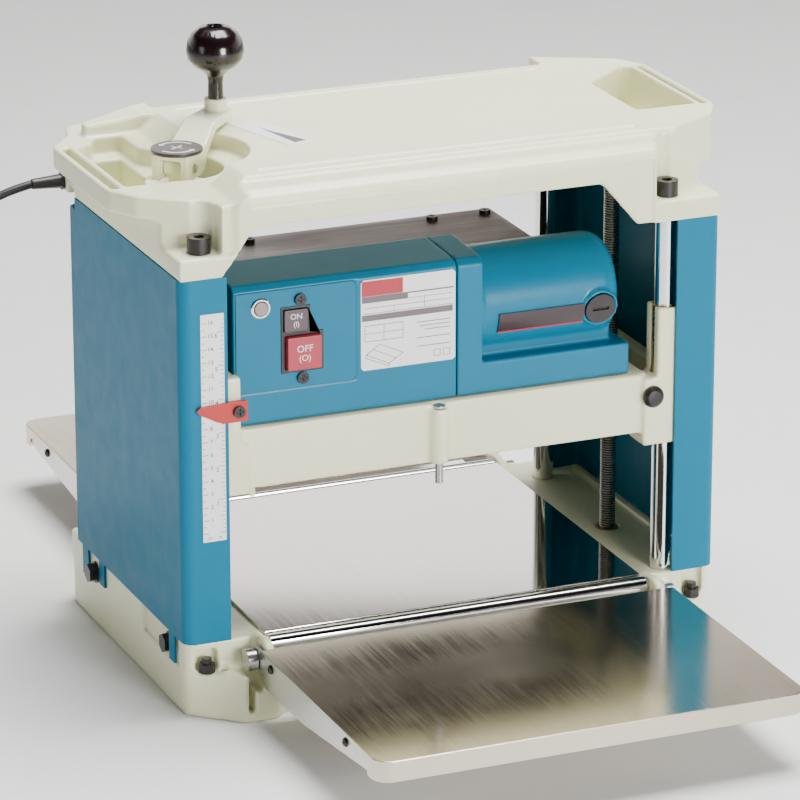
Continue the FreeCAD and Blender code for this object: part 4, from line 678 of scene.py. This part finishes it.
def mains_plug():
    """A moulded two-pin plug lying beside the coil."""
    low, high = in_mm("mains_plug")
    middle, level, face = (low[0] + high[0]) / 2, (low[2] + high[2]) / 2, high[1] - PLUG_PIN_LENGTH
    sections = [(-50, 3.6, 3.6), (-44, 4.4, 4.4), (-38, 5.4, 5.2), (-36, 7.6, 6.6), (-31, 10.6, 9.2)]
    sections += [(-28 + 2 * k, 12.4 - 0.7 * (k % 2), 10.7 - 0.5 * (k % 2)) for k in range(8)]
    sections += [(-10, 12.9, 11), (-3, 12.9, 11), (-0.8, 12.4, 10.5), (0, 11.4, 9.6)]
    work, rings, steps = bmesh.new(), [], 32
    for along, wide, tall in sections:
        ring = []
        for k in range(steps):
            turn = 2 * math.pi * k / steps
            a, b = math.cos(turn), math.sin(turn)
            ring.append(work.verts.new(((middle + wide * math.copysign(abs(a) ** 0.6, a)) * MM,
                                        (face + along) * MM,
                                        (level + tall * math.copysign(abs(b) ** 0.6, b)) * MM)))
        rings.append(ring)
    for first, second in zip(rings, rings[1:]):
        for k in range(steps):
            work.faces.new((first[k], first[(k + 1) % steps], second[(k + 1) % steps], second[k]))
    work.faces.new(rings[0])
    work.faces.new(rings[-1])
    bmesh.ops.recalc_face_normals(work, faces=work.faces)
    mesh = bpy.data.meshes.new("plug_moulding")
    work.to_mesh(mesh)
    work.free()
    smooth(mesh, 50)
    plug = enter("plug_moulding", mesh, "frame", FINISH["black_plastic"])
    radius, tip = PLUG_PIN_RADIUS, -PLUG_PIN_LENGTH
    profile = [(radius, 1), (radius, tip + 1.6), (radius - 0.5, tip + 0.4), (0.9, tip), (0, tip)]
    pins = [lathe(f"plug_pin_{index}", profile, "frame", FINISH["machined_steel"],
                  ((middle + across) * MM, face * MM, level * MM), "y", 24)
            for index, across in enumerate((-PLUG_PIN_ACROSS, PLUG_PIN_ACROSS))]
    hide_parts("mains_plug")
    return [plug, *pins]


def mains_cord():
    """The lead hangs from its strain relief and its spare length lies wound beside the machine."""
    low, high = in_mm("cord_coil")
    centre = ((low[0] + high[0]) / 2, (low[1] + high[1]) / 2)
    thick = CORD_DIAMETER
    outer = (high[0] - low[0]) / 2 - 3.4
    turns = coil_turns(centre, outer, thick, (thick * 1.5 + 0.15, thick / 2 + 0.05), 4)
    plug_low = in_mm("mains_plug")[0]
    edge = centre[0] + outer
    tail = [(edge, centre[1], 3.3), (edge, centre[1] + 8, 3.5), (edge, centre[1] + 17, 5.2),
            (edge, centre[1] + 26, 9.2), (edge, plug_low[1] - 6, 11.0), (edge, plug_low[1] + 2, 11.2)]
    points = [*CORD_ROUTE, *turns, *tail]
    curve = bpy.data.curves.new("mains_cord", "CURVE")
    curve.dimensions, curve.bevel_depth = "3D", thick / 2 * MM
    curve.bevel_resolution, curve.resolution_u, curve.use_fill_caps = 4, 6, True
    line = curve.splines.new("NURBS")
    line.points.add(len(points) - 1)
    for knot, point in zip(line.points, points):
        knot.co = (*[part * MM for part in point], 1)
    line.order_u, line.use_endpoint_u = 3, True
    curve.materials.append(FINISH["belt_rubber"])
    cord = bpy.data.objects.new("mains_cord", curve)
    SCENE.collection.objects.link(cord)
    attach(cord, "frame")
    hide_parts("cord_tube", "cord_coil")
    mains_plug()


castings()
sheet_parts()
turned_parts()
for node in ("left_lead_screw", "right_lead_screw"):
    NODES[node].data.materials.clear()
    NODES[node].data.materials.append(thread_steel(node + "_thread", SCREW_PITCH))
scale_marks()
rating_plate()
barrel_badge()
switch_marks()
turning_arrows()
top_label()
rail_screws()
mains_cord()
stage()
